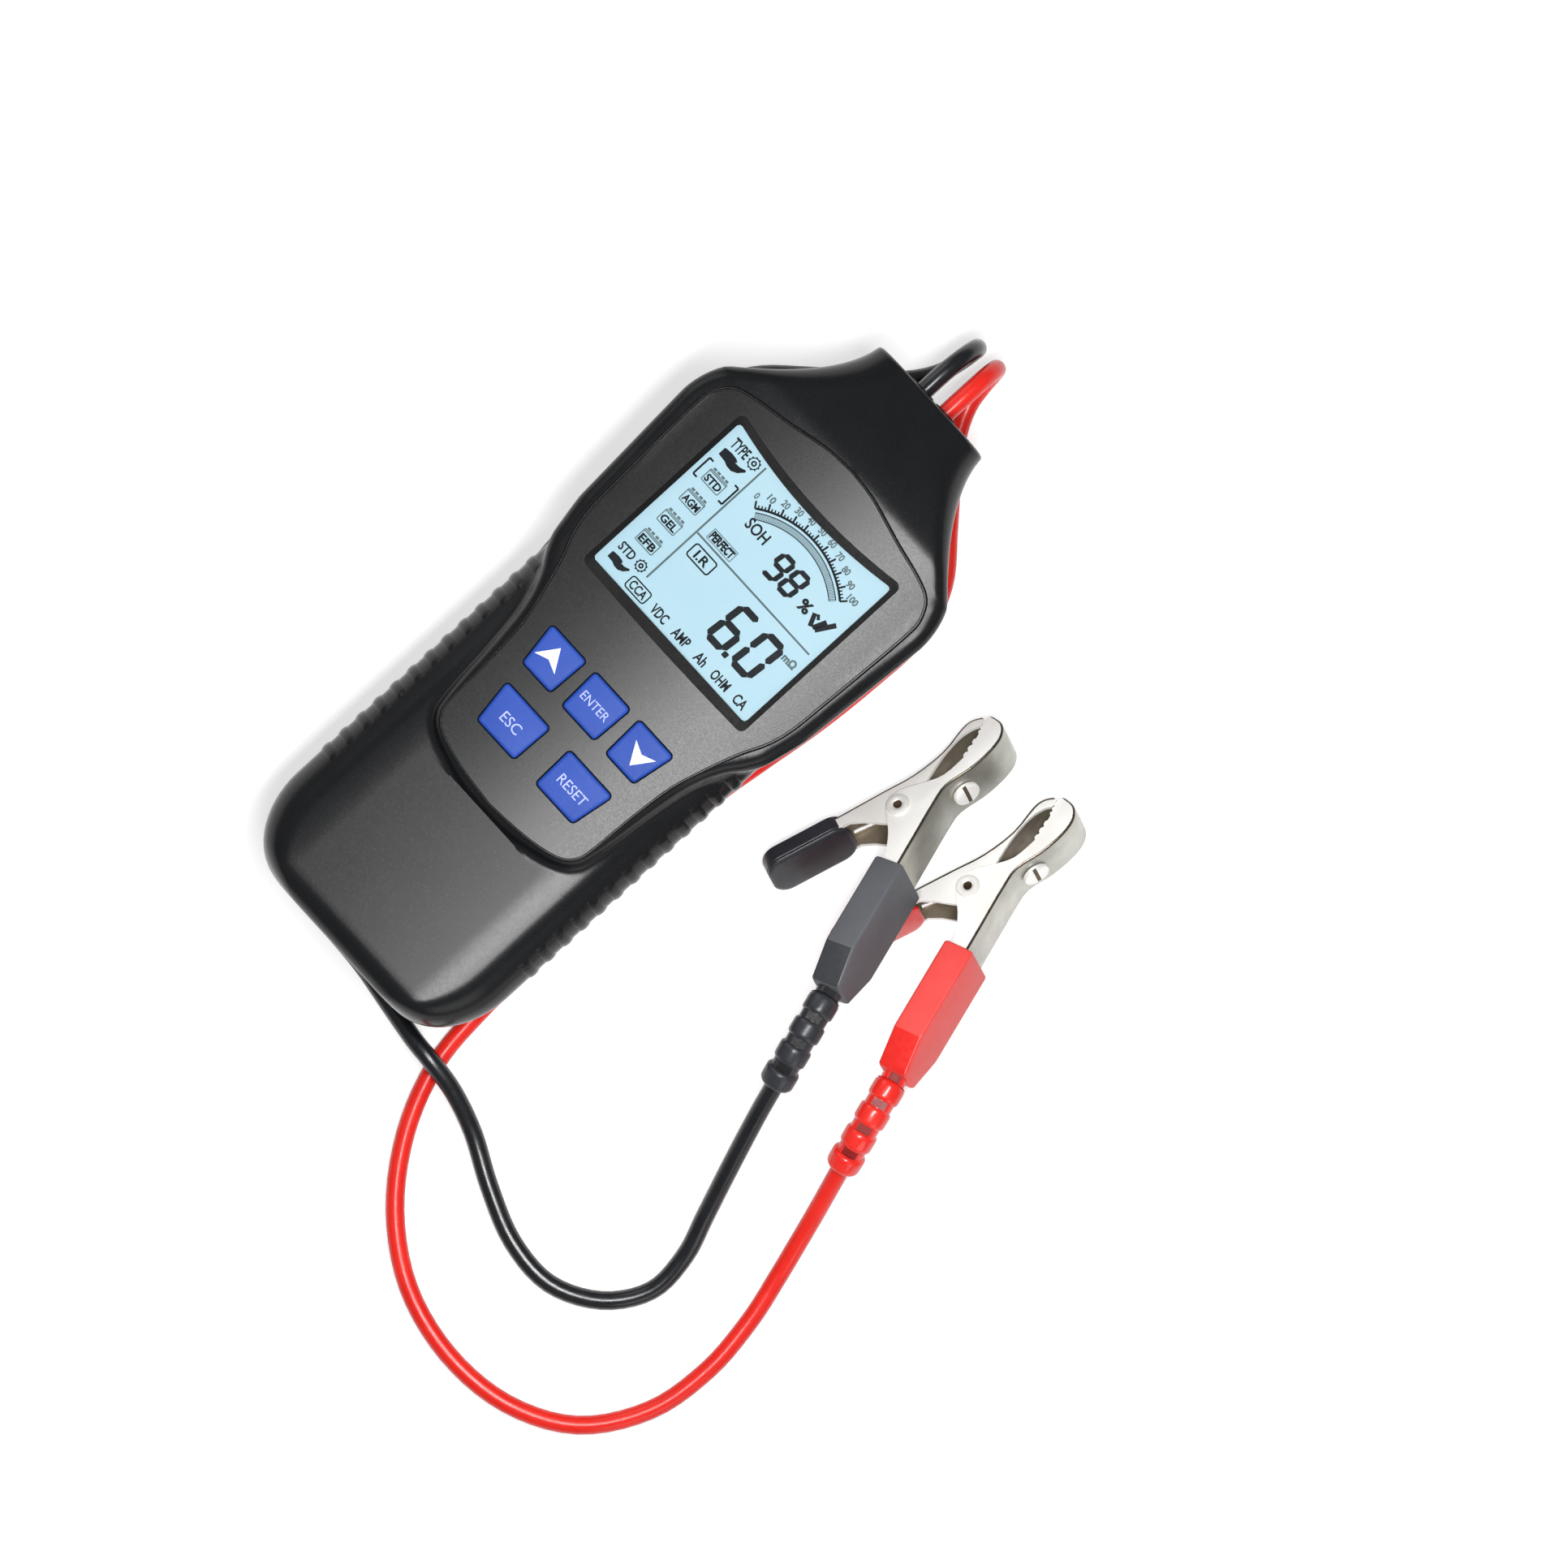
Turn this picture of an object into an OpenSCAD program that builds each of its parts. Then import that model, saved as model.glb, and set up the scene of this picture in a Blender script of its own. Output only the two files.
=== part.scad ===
// Battery tester: a hand-held body with a display and five keys, and two leads
// that end in insulated crocodile clips. It lies on its back, face up.
// +Y points to the nose, +X to the right of the face, and Z = 0 is the table.

/* [Body] */
// Length of the body from the grip's end to the nose's end
body_length = 200; // [190:1:220]
// Width across the head
head_width = 87; // [84:0.5:96]
// Width across the grip
grip_width = 76.4; // [74:0.2:80]
// Width of the nose's flat end
nose_width = 37.6; // [30:0.2:44]
// Height of the head and of the raised face
head_height = 41.5; // [40:0.5:46]
// Height of the grip's flat top
grip_height = 37; // [34:0.5:38]
// Height of the joint between the two shells
split_height = 24; // [22:0.5:26]
// Thickness of the nose's flat end, top to bottom
nose_thickness = 20; // [16:0.5:24]
// Radius of the lower long edges
low_edge = 16; // [12:0.5:18]
// Radius of the grip's upper long edges
grip_edge = 14; // [8:0.5:14]
// Radius of the head's upper edges
head_edge = 6.5; // [4:0.5:8]
// Wall of both shells
wall = 2.4; // [1.8:0.1:3]
// Number of ribs on each side of the grip
rib_count = 13; // [6:1:15]
// Distance between the ribs
rib_pitch = 5.7; // [5:0.1:6.4]
// How far the ribs stand out
rib_depth = 0.7; // [0.4:0.1:1]

/* [Face] */
// Thickness of the inlaid face panel
panel_thickness = 1.2; // [0.8:0.1:1.6]
// Width of the display's window
window_width = 55.2; // [48:0.2:58]
// Height of the display's window along the body
window_length = 49; // [40:0.5:50]
// Thickness of the clear window over the display
lens_thickness = 1; // [0.8:0.1:1.2]
// Length of a key along the body
key_length = 11.7; // [10:0.1:13]
// Width of the middle key
enter_width = 12.7; // [10:0.1:14]
// Width of the two outer keys of the upper row
arrow_width = 12.5; // [10:0.1:13.5]
// Width of the two keys of the lower row
wide_key_width = 15.6; // [12:0.1:17]
// Travel of a key
key_travel = 0.8; // [0.4:0.1:1]
// How far a key stands above the panel
key_rise = 0.9; // [0.5:0.1:1.5]

/* [Inside] */
// Thickness of the circuit board
board_thickness = 1.6; // [1:0.2:2]
// Width of the circuit board
board_width = 60; // [56:0.5:62]
// Length of the circuit board
board_length = 124; // [116:1:128]
// Diameter of the screws that hold the shells together
screw_diameter = 3; // [2.5:0.1:3.5]

/* [Leads] */
// Diameter of a lead
lead_diameter = 4.8; // [4:0.1:5.4]
// Distance between the two leads where they leave the nose
lead_spacing = 7.8; // [7:0.1:10]

/* [Clips] */
// Width of a clip's jaws
jaw_width = 14; // [12:0.5:16]
// Thickness of the clip's sheet steel
sheet = 1; // [0.8:0.1:1.2]
// Diameter of the pivot rivet
rivet_diameter = 3.8; // [3:0.1:4.2]
// Width of the boot on the lead side
lead_boot_width = 16.6; // [16.4:0.2:19]
// Length of the boot on the lead side
lead_boot_length = 35.4; // [32:0.2:38]
// Thickness of the boot on the lead side
lead_boot_thickness = 8.2; // [7:0.1:9.4]
// Width of the boot on the free handle
handle_boot_width = 13.6; // [13.4:0.2:17]
// Length of the boot on the free handle
handle_boot_length = 23.5; // [20:0.5:26]
// Diameter of the ribbed strain relief
relief_diameter = 8.8; // [8:0.1:10]
// Length of the ribbed strain relief
relief_length = 27; // [24:0.5:32]

/* [Hidden] */

fit = 0.1;            // gap between pieces that sit in one another
slide_gap = 0.35;     // gap round a key
groove = 0.5;         // open groove round the face panel
shell_fn = 32;        // sides of the round details that are cut into the shells

// ---------------------------------------------------------------- general functions
function mix(a, b, t) = a + (b - a) * t;
function clamp01(t) = min(1, max(0, t));
function ease(t) = let (u = clamp01(t)) u * u * (3 - 2 * u);
function unit(v) = v / norm(v);
function mirrored(half) = concat(half, [for (i = [len(half) - 1:-1:0])
    if (half[i].x > 0.001) [-half[i].x, half[i].y]]);

// A polygon with each corner turned into an arc of radius r
function rounded(p, r, steps = 4) = [for (i = [0:len(p) - 1])
    let (b = p[i], u = unit(p[(i + len(p) - 1) % len(p)] - b), v = unit(p[(i + 1) % len(p)] - b),
         half = acos(u * v) / 2, c = b + unit(u + v) * r / sin(half),
         s = b + u * r / tan(half) - c, e = b + v * r / tan(half) - c)
    for (k = [0:steps]) c + unit(mix(s, e, k / steps)) * r];

// A smooth curve through open points, with n steps between each two
function curve_point(a, b, c, d, t) = 0.5 * (2 * b + (c - a) * t + (2 * a - 5 * b + 4 * c - d) * t * t
    + (3 * b - a - 3 * c + d) * t * t * t);
function smooth(p, n) = concat([for (i = [0:len(p) - 2]) for (k = [0:n - 1])
    curve_point(p[max(0, i - 1)], p[i], p[i + 1], p[min(len(p) - 1, i + 2)], k / n)], [p[len(p) - 1]]);

module stack(rings) {
    n = len(rings[0]);
    m = len(rings);
    polyhedron(
        points = [for (r = rings) each r],
        faces = concat([[for (j = [n - 1:-1:0]) j]], [[for (j = [0:n - 1]) (m - 1) * n + j]],
            [for (i = [0:m - 2]) for (j = [0:n - 1])
                let (k = (j + 1) % n, a = i * n + j, b = i * n + k, c = (i + 1) * n + k, d = (i + 1) * n + j)
                    each [[a, b, c], [a, c, d]]]),
        convexity = 6);
}

// A tube of eight sides with one ring at each point of its route
tube_sides = 8;
function tube_ring(p, dir, d) = let (side = unit(cross(dir, abs(dir.z) > 0.95 ? [0, 1, 0] : [0, 0, 1])),
    up = cross(side, dir)) [for (k = [0:tube_sides - 1]) let (a = 360 * (k + 0.5) / tube_sides)
        p + d / 2 * (cos(a) * side + sin(a) * up)];
module tube(route, d) {
    last = len(route) - 1;
    stack([for (i = [0:last]) tube_ring(route[i], unit(route[min(last, i + 1)] - route[max(0, i - 1)]), d)]);
}

// ---------------------------------------------------------------- outer form of the body
nose_y = body_length / 2;
end_y = -body_length / 2;
shoulder_y = 68;
dip_y = 73;
brow_y = 56.5;
waist_y = 19.7;
flank_y = 4;
tongue_y = -49.9;
head_half = head_width / 2;
grip_half = grip_width / 2;
nose_half = nose_width / 2;
shoulder_drop = 2.9;
waist_drop = 2.3;
corner_a = 17;
corner_b = 22;
end_low = 14;
end_high = 6;
rise_y = 62;
nose_low = split_height - nose_thickness / 2;
nose_high = split_height + nose_thickness / 2;

// Half width of the tongue that carries the keys, from the flank down to its round end
tongue_table = [[-49.9, 6], [-49.2, 11], [-48.2, 15], [-46.7, 20], [-44.7, 23.7], [-42.5, 25.6],
    [-40, 26.6], [-32, 27.8], [-20.6, 28.9], [-9, 30.6], [-1, 33.4], [flank_y, 36.6], [8, 38.7],
    [13, 39.9], [waist_y, 41.2]];

function nose_flare(y) = mix(nose_half, head_half - shoulder_drop,
    pow((nose_y - y) / (nose_y - shoulder_y), 1.7));
function head_side(y) = y > shoulder_y ? nose_flare(y)
    : y > brow_y ? head_half - shoulder_drop * pow((y - brow_y) / (shoulder_y - brow_y), 2)
    : y > waist_y ? mix(head_half - waist_drop, head_half, (y - waist_y) / (brow_y - waist_y))
    : lookup(y, tongue_table) + (head_half - waist_drop - 41.2) * ease((y + 20) / (waist_y + 20));
function grip_side(y) = y > end_y + corner_b ? grip_half
    : grip_half - corner_a + corner_a * sqrt(max(0, 1 - pow((end_y + corner_b - y) / corner_b, 2)));
function head_top(y) = y > dip_y ? mix(head_height, nose_high,
    pow((y - dip_y) / (nose_y - dip_y), 1.2)) : head_height;
function head_low(y) = y > rise_y ? nose_low * pow((y - rise_y) / (nose_y - rise_y), 1.5)
    : split_height * (1 - ease((y + 2) / (waist_y + 2)));
function grip_top(y) = y < end_y + end_high
    ? grip_height - end_high + sqrt(max(0, end_high * end_high - pow(end_y + end_high - y, 2))) : grip_height;
function grip_low(y) = y < end_y + end_low
    ? end_low - sqrt(max(0, end_low * end_low - pow(end_y + end_low - y, 2))) : 0;

// One cross section as a ring of points, with low and high edge radii
edge_steps = 7;
function section(y, w, lo, hi, r_lo, r_hi) =
    let (span = hi - lo, rl = min(r_lo, span * 0.48, w * 0.9), rh = min(r_hi, span * 0.48, w * 0.9))
    concat(
        [for (k = [0:edge_steps]) let (a = 90 * k / edge_steps)
            [w - rh + rh * cos(a), y, hi - rh + rh * sin(a)]],
        [for (k = [0:edge_steps]) let (a = 90 + 90 * k / edge_steps)
            [rh - w + rh * cos(a), y, hi - rh + rh * sin(a)]],
        [for (k = [0:edge_steps]) let (a = 180 + 90 * k / edge_steps)
            [rl - w + rl * cos(a), y, lo + rl + rl * sin(a)]],
        [for (k = [0:edge_steps]) let (a = 270 + 90 * k / edge_steps)
            [w - rl + rl * cos(a), y, lo + rl + rl * sin(a)]]);

function head_section(y, inset) = section(y, head_side(y) - inset, head_low(y) + inset, head_top(y) - inset,
    low_edge - inset, mix(head_edge, 9, ease((y - shoulder_y) / (nose_y - shoulder_y))) - inset);
function grip_section(y, inset) = section(y, grip_side(y) - inset, grip_low(y) + inset, grip_top(y) - inset,
    low_edge - inset, grip_edge - inset);

head_stations = concat([for (row = tongue_table) row.x], [brow_y - 18, brow_y],
    [for (k = [1:3]) mix(brow_y, shoulder_y, k / 3)],
    [for (k = [1:9]) mix(shoulder_y, nose_y, k / 9)]);
grip_stations = concat([for (a = [0:15:90]) end_y + end_low * (1 - sin(90 - a) )],
    [end_y + 18, end_y + corner_b, -30, 12, 40]);

module outer_form() {
    stack([for (y = head_stations) head_section(y, 0)]);
    stack([for (y = grip_stations) grip_section(y, 0)]);
}

// The hollow inside, one wall smaller, and lower where the face panel is let in
top_wall = wall + panel_thickness;
hollow_head = concat([for (row = tongue_table) if (row.x > -42) row.x], [brow_y - 18, brow_y],
    [for (k = [1:3]) mix(brow_y, shoulder_y, k / 3)],
    [for (k = [1:5]) mix(shoulder_y, nose_y - 3 * wall, k / 5)]);
hollow_grip = [end_y + 5, end_y + 7, end_y + 10, end_y + 15, end_y + corner_b, -30, 12, 40];
module hollow() {
    stack([for (y = hollow_head) section(y, head_side(y) - wall, head_low(y) + wall, head_top(y) - top_wall,
        low_edge - wall, 4)]);
    stack([for (y = hollow_grip) section(y, grip_side(y) - wall, grip_low(y) + wall, grip_top(y) - wall,
        low_edge - wall, grip_edge - wall)]);
}

module ribs() {
    rib_top_y = 0;
    intersection() {
        for (k = [0:rib_count - 1]) {
            y = rib_top_y - k * rib_pitch;
            hull() {
                stack([for (s = [-0.7, 0.7]) section(y + s, grip_side(y) + rib_depth, 0, grip_height,
                    low_edge, grip_edge)]);
                stack([for (s = [-1.9, 1.9]) section(y + s, grip_side(y) - 0.3, 0, grip_height,
                    low_edge, grip_edge)]);
            }
        }
        for (side = [-1, 1])
            translate([side * grip_half, 0, split_height - 1])
                cube([14, body_length, 22], center = true);
    }
}

module above_split()
    translate([-head_width, -body_length, split_height])
        cube([2 * head_width, 2 * body_length, 60]);
module below_split()
    translate([-head_width, -body_length, split_height - 60])
        cube([2 * head_width, 2 * body_length, 60]);

// ---------------------------------------------------------------- face: panel, window and keys
panel_half = [[0, 72.8], [7.5, 72.2], [14.9, 70.5], [20.6, 69.1], [29.8, 67.2], [35, 65.1], [37.6, 61],
    [38.2, 56.5], [37.8, 43.8], [37.1, 30], [36.5, 19.7], [35, 12.8], [32.1, 5.9], [29.2, -3.3],
    [26.9, -12.5], [25.8, -24], [25.2, -35.5], [24.3, -40.7], [20.6, -44.2], [11.4, -46.5], [0, -47.6]];
panel_outline = mirrored(smooth(panel_half, 2));
panel_top = head_height - 0.1;
panel_base = panel_top - panel_thickness;

window_y = 36.8;
window_dip = 2.8;
window_low_y = window_y - window_length / 2 - 0.3;
window_high_y = window_low_y + window_length;
// The window's upper edge dips in an arc towards the middle
function window_outline(grow) = let (w = window_width / 2 + grow, low = window_low_y - grow)
    concat([for (k = [-4:4]) let (t = k / 4) [w * t, window_high_y + grow - window_dip * (1 - t * t)]],
        [[w, low + 1.4], [w - 0.4, low + 0.4], [w - 1.4, low],
         [1.4 - w, low], [0.4 - w, low + 0.4], [-w, low + 1.4]]);

upper_row_y = -12.45;
row_pitch = 17.7;
lower_row_y = upper_row_y - row_pitch;
key_gap = 3.3;
key_radius = 1;
key_flange = 1.4;
flange_thickness = 1;
key_slant = 1.4;
// Middle X, middle Y, half width at the top, and how much each side draws in at the bottom
arrow_x = enter_width / 2 + key_gap + arrow_width / 2;
wide_x = 3.6 + wide_key_width / 2;
key_table = [[-arrow_x, upper_row_y, arrow_width / 2, 2.0, 0.5], [0, upper_row_y, enter_width / 2, 0.5, 0.5],
    [arrow_x, upper_row_y, arrow_width / 2, 0.5, 2.0], [-wide_x, lower_row_y, wide_key_width / 2, 1.9, 0.4],
    [wide_x, lower_row_y, wide_key_width / 2, 0.4, 1.9]];
function key_outline(i, grow) = let (k = key_table[i], h = key_length / 2 + grow, w = k[2] + grow)
    rounded([[k[0] - w, k[1] + h], [k[0] + w, k[1] + h],
             [k[0] + w - k[4], k[1] - h], [k[0] - w + k[3], k[1] - h]], key_radius + grow);

board_clearance = 3.2;
face_to_board = 10.1;
board_top = min(grip_height - wall - board_clearance, head_height - face_to_board);
key_flange_top = head_height - top_wall - fit;
key_base = key_flange_top - flange_thickness;
sheet_top = key_base - 1.3 - key_travel;

module key(i) color([0.24, 0.35, 0.78]) {
    k = key_table[i];
    translate([0, 0, key_base + fit])
        linear_extrude(panel_top + key_rise - key_base - fit)
            polygon(key_outline(i, 0));
    translate([0, 0, key_base])
        linear_extrude(flange_thickness)
            polygon(key_outline(i, key_flange));
    translate([k[0], k[1], sheet_top + key_travel + fit])
        cylinder(r = 2.2, h = key_base - sheet_top - key_travel, $fn = 24);
}

// ---------------------------------------------------------------- fastenings and openings in the shells
boss_half = 3.6;
function boss_top(p) = (p.y > waist_y ? head_height - top_wall : grip_height - wall) + 0.5;
screw_places = [[-35.2, 50], [35.2, 50], [-25.5, end_y + 22], [25.5, end_y + 22]];
screw_head_diameter = 2 * screw_diameter - 0.4;
screw_head_z = 5;
screw_top = split_height + 7;
lead_z = split_height;
lead_x = [-lead_spacing / 2 + 0.6, lead_spacing / 2 + 0.6];
grommet_diameter = lead_diameter + 1.9;

module grommet_seats(grow) {
    for (x = lead_x)
        translate([x, nose_y - 3 * wall - 1, lead_z])
            rotate([-90, 0, 0])
                cylinder(d = grommet_diameter + 2 * grow, h = 3 * wall + 3, $fn = shell_fn);
}

module front_shell() color([0.13, 0.13, 0.14]) difference() {
    intersection() {
        union() {
            difference() {
                union() {
                    outer_form();
                    ribs();
                }
                hollow();
            }
            for (p = screw_places)
                translate([p.x, p.y, split_height - 1])
                    cylinder(r = boss_half, h = boss_top(p) - split_height + 1, $fn = shell_fn);
        }
        above_split();
    }
    translate([0, 0, panel_base])
        linear_extrude(4)
            offset(delta = groove)
                polygon(panel_outline);
    block(0, window_mid_y, head_height - top_wall - 1, 2 * (glass_half + fit), 2 * (glass_long + fit),
        top_wall + 2);
    for (i = [0:4])
        translate([0, 0, head_height - top_wall - 2])
            linear_extrude(top_wall + 3)
                polygon(key_outline(i, slide_gap));
    for (p = screw_places)
        translate([p.x, p.y, split_height - 2])
            cylinder(d = screw_diameter + 0.3, h = screw_top - split_height + 3, $fn = shell_fn);
    grommet_seats(fit);
}

module rear_shell() color([0.12, 0.12, 0.13]) difference() {
    intersection() {
        union() {
            difference() {
                union() {
                    outer_form();
                    ribs();
                }
                hollow();
            }
            intersection() {
                outer_form();
                for (p = screw_places)
                    translate([p.x, p.y, 0])
                        cylinder(r = boss_half, h = split_height, $fn = shell_fn);
            }
        }
        below_split();
    }
    for (p = screw_places) {
        translate([p.x, p.y, -1])
            cylinder(d = screw_diameter + 0.4, h = split_height + 2, $fn = shell_fn);
        translate([p.x, p.y, -1])
            cylinder(d = screw_head_diameter + 0.5, h = screw_head_z + 1, $fn = shell_fn);
    }
    grommet_seats(fit);
}

module face_panel() color([0.17, 0.17, 0.18]) difference() {
    translate([0, 0, panel_base])
        linear_extrude(panel_thickness)
            polygon(panel_outline);
    translate([0, 0, panel_base - 1])
        linear_extrude(panel_thickness + 2)
            polygon(window_outline(fit));
    for (i = [0:4])
        translate([0, 0, panel_base - 1])
            linear_extrude(panel_thickness + 2)
                polygon(key_outline(i, slide_gap));
}

window_top = panel_top - 0.2;
module display_window() color([0.75, 0.9, 0.95, 0.6])
    translate([0, 0, window_top - lens_thickness])
        linear_extrude(lens_thickness)
            polygon(window_outline(0));

glass_top = window_top - lens_thickness - 0.2;
glass_thickness = 2;
frame_wall = 1.5;
glass_half = window_width / 2 + 1.6;
glass_long = window_length / 2 + 1.6;
glass_base = glass_top - glass_thickness;
light_thickness = 2.6;
light_base = glass_base - light_thickness;
module block(x, y, z, w, l, h) translate([x - w / 2, y - l / 2, z]) cube([w, l, h]);
window_mid_y = (window_low_y + window_high_y) / 2;

module display_glass() color([0.72, 0.88, 0.95])
    block(0, window_mid_y, glass_base, 2 * glass_half, 2 * glass_long, glass_thickness);
module backlight() color([0.92, 0.95, 0.97])
    block(0, window_mid_y, light_base, 2 * glass_half, 2 * glass_long, light_thickness);
module display_frame() color([0.08, 0.08, 0.09]) difference() {
    block(0, window_mid_y, board_top, 2 * (glass_half + frame_wall), 2 * (glass_long + frame_wall),
        head_height - top_wall - fit - board_top);
    block(0, window_mid_y, board_top - 1, 2 * (glass_half + fit), 2 * (glass_long + fit), 20);
}

board_y = 2;
board_base = board_top - board_thickness;
module main_board() color([0.1, 0.36, 0.2])
    block(0, board_y, board_base, board_width, board_length, board_thickness);

sheet_thickness = 0.8;
switch_height = sheet_top - sheet_thickness - board_top;
sheet_margin = 1.5;
switch_width = 6;
sheet_width = 2 * arrow_x + arrow_width + 2 * sheet_margin;
sheet_length = key_length + row_pitch + 2 * sheet_margin;
module keypad_sheet() color([0.75, 0.76, 0.78])
    block(0, upper_row_y - row_pitch / 2, sheet_top - sheet_thickness, sheet_width, sheet_length,
        sheet_thickness);
module key_switches() color([0.2, 0.2, 0.22])
    for (k = key_table)
        block(k[0], k[1], board_top, switch_width, switch_width, switch_height);

module case_screws() color([0.7, 0.7, 0.72])
    for (p = screw_places)
        translate([p.x, p.y, 0]) {
            translate([0, 0, screw_head_z - 2.2])
                cylinder(d = screw_head_diameter, h = 2.2, $fn = 24);
            translate([0, 0, screw_head_z])
                cylinder(d = screw_diameter, h = screw_top - screw_head_z, $fn = 24);
        }

// ---------------------------------------------------------------- circuit parts under the board
// A place on the board, from -1 to 1 each way, and what hangs there, by width, length and height
function on_board(u, v) = [u * board_width / 2, board_y + v * board_length / 2];
module hung(at, size) block(at.x, at.y, board_base - size.z, size.x, size.y, size.z);
resistor_size = [10, 26, 9];
relay_size = [15, 19, 14];
chip_size = [12, 12, 1.4];
capacitor_diameter = 12.5;
capacitor_height = 15;
buzzer_diameter = 14;
buzzer_height = 7;
buzzer_hole = 3;

module processor() color([0.1, 0.1, 0.11]) hung(on_board(0, 0.13), chip_size);
module load_resistors() color([0.86, 0.84, 0.78])
    for (u = [-0.6, 0.6])
        hung(on_board(u, 0.52), resistor_size);
module relay() color([0.12, 0.2, 0.45]) hung(on_board(-0.47, -0.29), relay_size);
module capacitor() color([0.15, 0.2, 0.45])
    translate([on_board(0.47, -0.26).x, on_board(0.47, -0.26).y, board_base - capacitor_height])
        cylinder(d = capacitor_diameter, h = capacitor_height, $fn = 32);
module buzzer() color([0.08, 0.08, 0.08])
    translate([0, on_board(0, -0.74).y, board_base - buzzer_height]) difference() {
        cylinder(d = buzzer_diameter, h = buzzer_height, $fn = 32);
        translate([0, 0, -1])
            cylinder(d = buzzer_hole, h = buzzer_height / 2, $fn = 32);
    }

terminal_y = board_y + board_length / 2 - 7;
terminal_height = 9;
module lead_terminals() color([0.75, 0.62, 0.3])
    for (x = lead_x) difference() {
        block(x, terminal_y, board_base - terminal_height, 6.4, 8, terminal_height);
        translate([x, terminal_y - 5, board_base - terminal_height / 2])
            rotate([-90, 0, 0])
                cylinder(d = lead_diameter - 1.6, h = 10, $fn = 24);
    }

// The last stretch of each lead, from the nose's end to its terminal
tail_front_y = terminal_y + 8;
terminal_z = board_base - terminal_height / 2;
module rod(a, b, d) {
    v = b - a;
    translate(a)
        rotate([0, acos(v.z / norm(v)), atan2(v.y, v.x)])
            cylinder(d = d, h = norm(v), $fn = 24);
}
module lead_tails() color([0.3, 0.1, 0.1])
    for (x = lead_x) {
        tube([[x, terminal_y + 4 + fit, terminal_z], [x, tail_front_y, terminal_z],
            [x, tail_front_y + 3, (terminal_z + lead_z) / 2], [x, tail_front_y + 6, lead_z],
            [x, nose_y - 0.5, lead_z]], lead_diameter);
        rod([x, terminal_y - 3, terminal_z], [x, terminal_y + 5, terminal_z], lead_diameter - 1.8);
    }

clamp_y = nose_y - 16;
module lead_clamp() color([0.12, 0.12, 0.13]) difference() {
    block(0.6, clamp_y, lead_z + lead_diameter / 2 - 3, 24, 5, 5);
    for (x = lead_x)
        translate([x, clamp_y - 5, lead_z])
            rotate([-90, 0, 0])
                cylinder(d = lead_diameter + 0.1, h = 10, $fn = 32);
    for (s = [-1, 1])
        translate([0.6 + s * 9.6, clamp_y, lead_z - 10])
            cylinder(d = 2.5, h = 20, $fn = 24);
}
module clamp_screws() color([0.7, 0.7, 0.72])
    for (s = [-1, 1])
        translate([0.6 + s * 9.6, clamp_y, 0]) {
            translate([0, 0, lead_z - 3])
                cylinder(d = 2.4, h = 7.4, $fn = 24);
            translate([0, 0, lead_z + lead_diameter / 2 + 2])
                cylinder(d = 4.4, h = 1.5, $fn = 24);
        }

module grommet(i)
    translate([lead_x[i], nose_y - 3 * wall, lead_z])
        rotate([-90, 0, 0]) difference() {
            cylinder(d = grommet_diameter, h = 3 * wall + 0.6, $fn = 32);
            translate([0, 0, -1])
                cylinder(d = lead_diameter + 0.1, h = 3 * wall + 4, $fn = 32);
        }
module black_grommet() color([0.07, 0.07, 0.08]) grommet(0);
module red_grommet() color([0.07, 0.07, 0.08]) grommet(1);

// ---------------------------------------------------------------- free leads
black_route = [[-3.3, 99.6, 24], [-3.3, 107, 24], [-3, 112.5, 22.5], [-2.6, 116.4, 18.6],
    [-2.4, 117.8, 13.2], [-2.6, 116.4, 7.9], [-3.2, 112.5, 4], [-4.5, 107, 2.5], [-8.4, 100.3, 2.5],
    [-15.5, 92.5, 2.5], [-26, 82.5, 2.5], [-35.6, 72, 2.5], [-40.6, 59, 2.5], [-40.7, 42, 2.5],
    [-39.6, 25, 2.5], [-37.4, 8, 2.5], [-35.7, -8, 2.5], [-35.6, -36, 2.5], [-35.4, -66, 2.5],
    [-34.9, -83, 2.5], [-29.8, -93.4, 2.5], [-19, -98.4, 2.5], [-4, -99, 2.5], [8, -99.6, 2.6],
    [20, -101.2, 4.2], [30, -102.4, 7.2], [37, -102.8, 7.9], [46.5, -104, 6], [57.5, -107.5, 2.9],
    [70, -113.5, 2.5], [84, -118.5, 2.5], [98, -118.8, 2.5], [110, -112, 2.5], [116.6, -101, 2.6],
    [115.8, -89, 4.2], [111.6, -78, 8.8], [106.4, -64.6, 17], [101.6, -51.6, 24.9],
    [98.5, -42.3, 30.7], [97.8, -40.2, 31.9]];
red_route = [[4.5, 99.6, 24], [4.5, 107, 24], [4.5, 112.5, 22.5], [4.6, 116.4, 18.6], [4.7, 117.8, 13.2],
    [4.9, 116.4, 7.9], [5.3, 112.5, 4], [6.5, 107, 2.5], [10, 100.3, 2.5], [16.4, 92.5, 2.5],
    [26, 82.5, 2.5], [35.6, 72, 2.5], [40.6, 59, 2.5], [40.7, 42, 2.5], [39.6, 25, 2.5], [37.4, 8, 2.5],
    [35.7, -8, 2.5], [35.6, -36, 2.5], [35.5, -66, 2.5], [36, -86, 2.5], [38.4, -103, 2.5],
    [46, -120, 2.5], [58.5, -135, 2.5], [75, -145.5, 2.5], [94, -149.5, 2.5], [113, -147, 2.5],
    [129, -137.5, 2.5], [138.5, -121.5, 2.5], [140.8, -104, 2.5], [138.8, -88, 2.6], [135.4, -75.5, 3.9],
    [132.6, -66.5, 6.8], [130, -58.5, 11.3], [127.4, -51, 16.5], [125, -44.2, 21.4], [124.4, -42.2, 22.8]];

module black_lead() color([0.06, 0.06, 0.07]) tube(black_route, lead_diameter);
module red_lead() color([0.85, 0.08, 0.06]) tube(red_route, lead_diameter);

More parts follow.
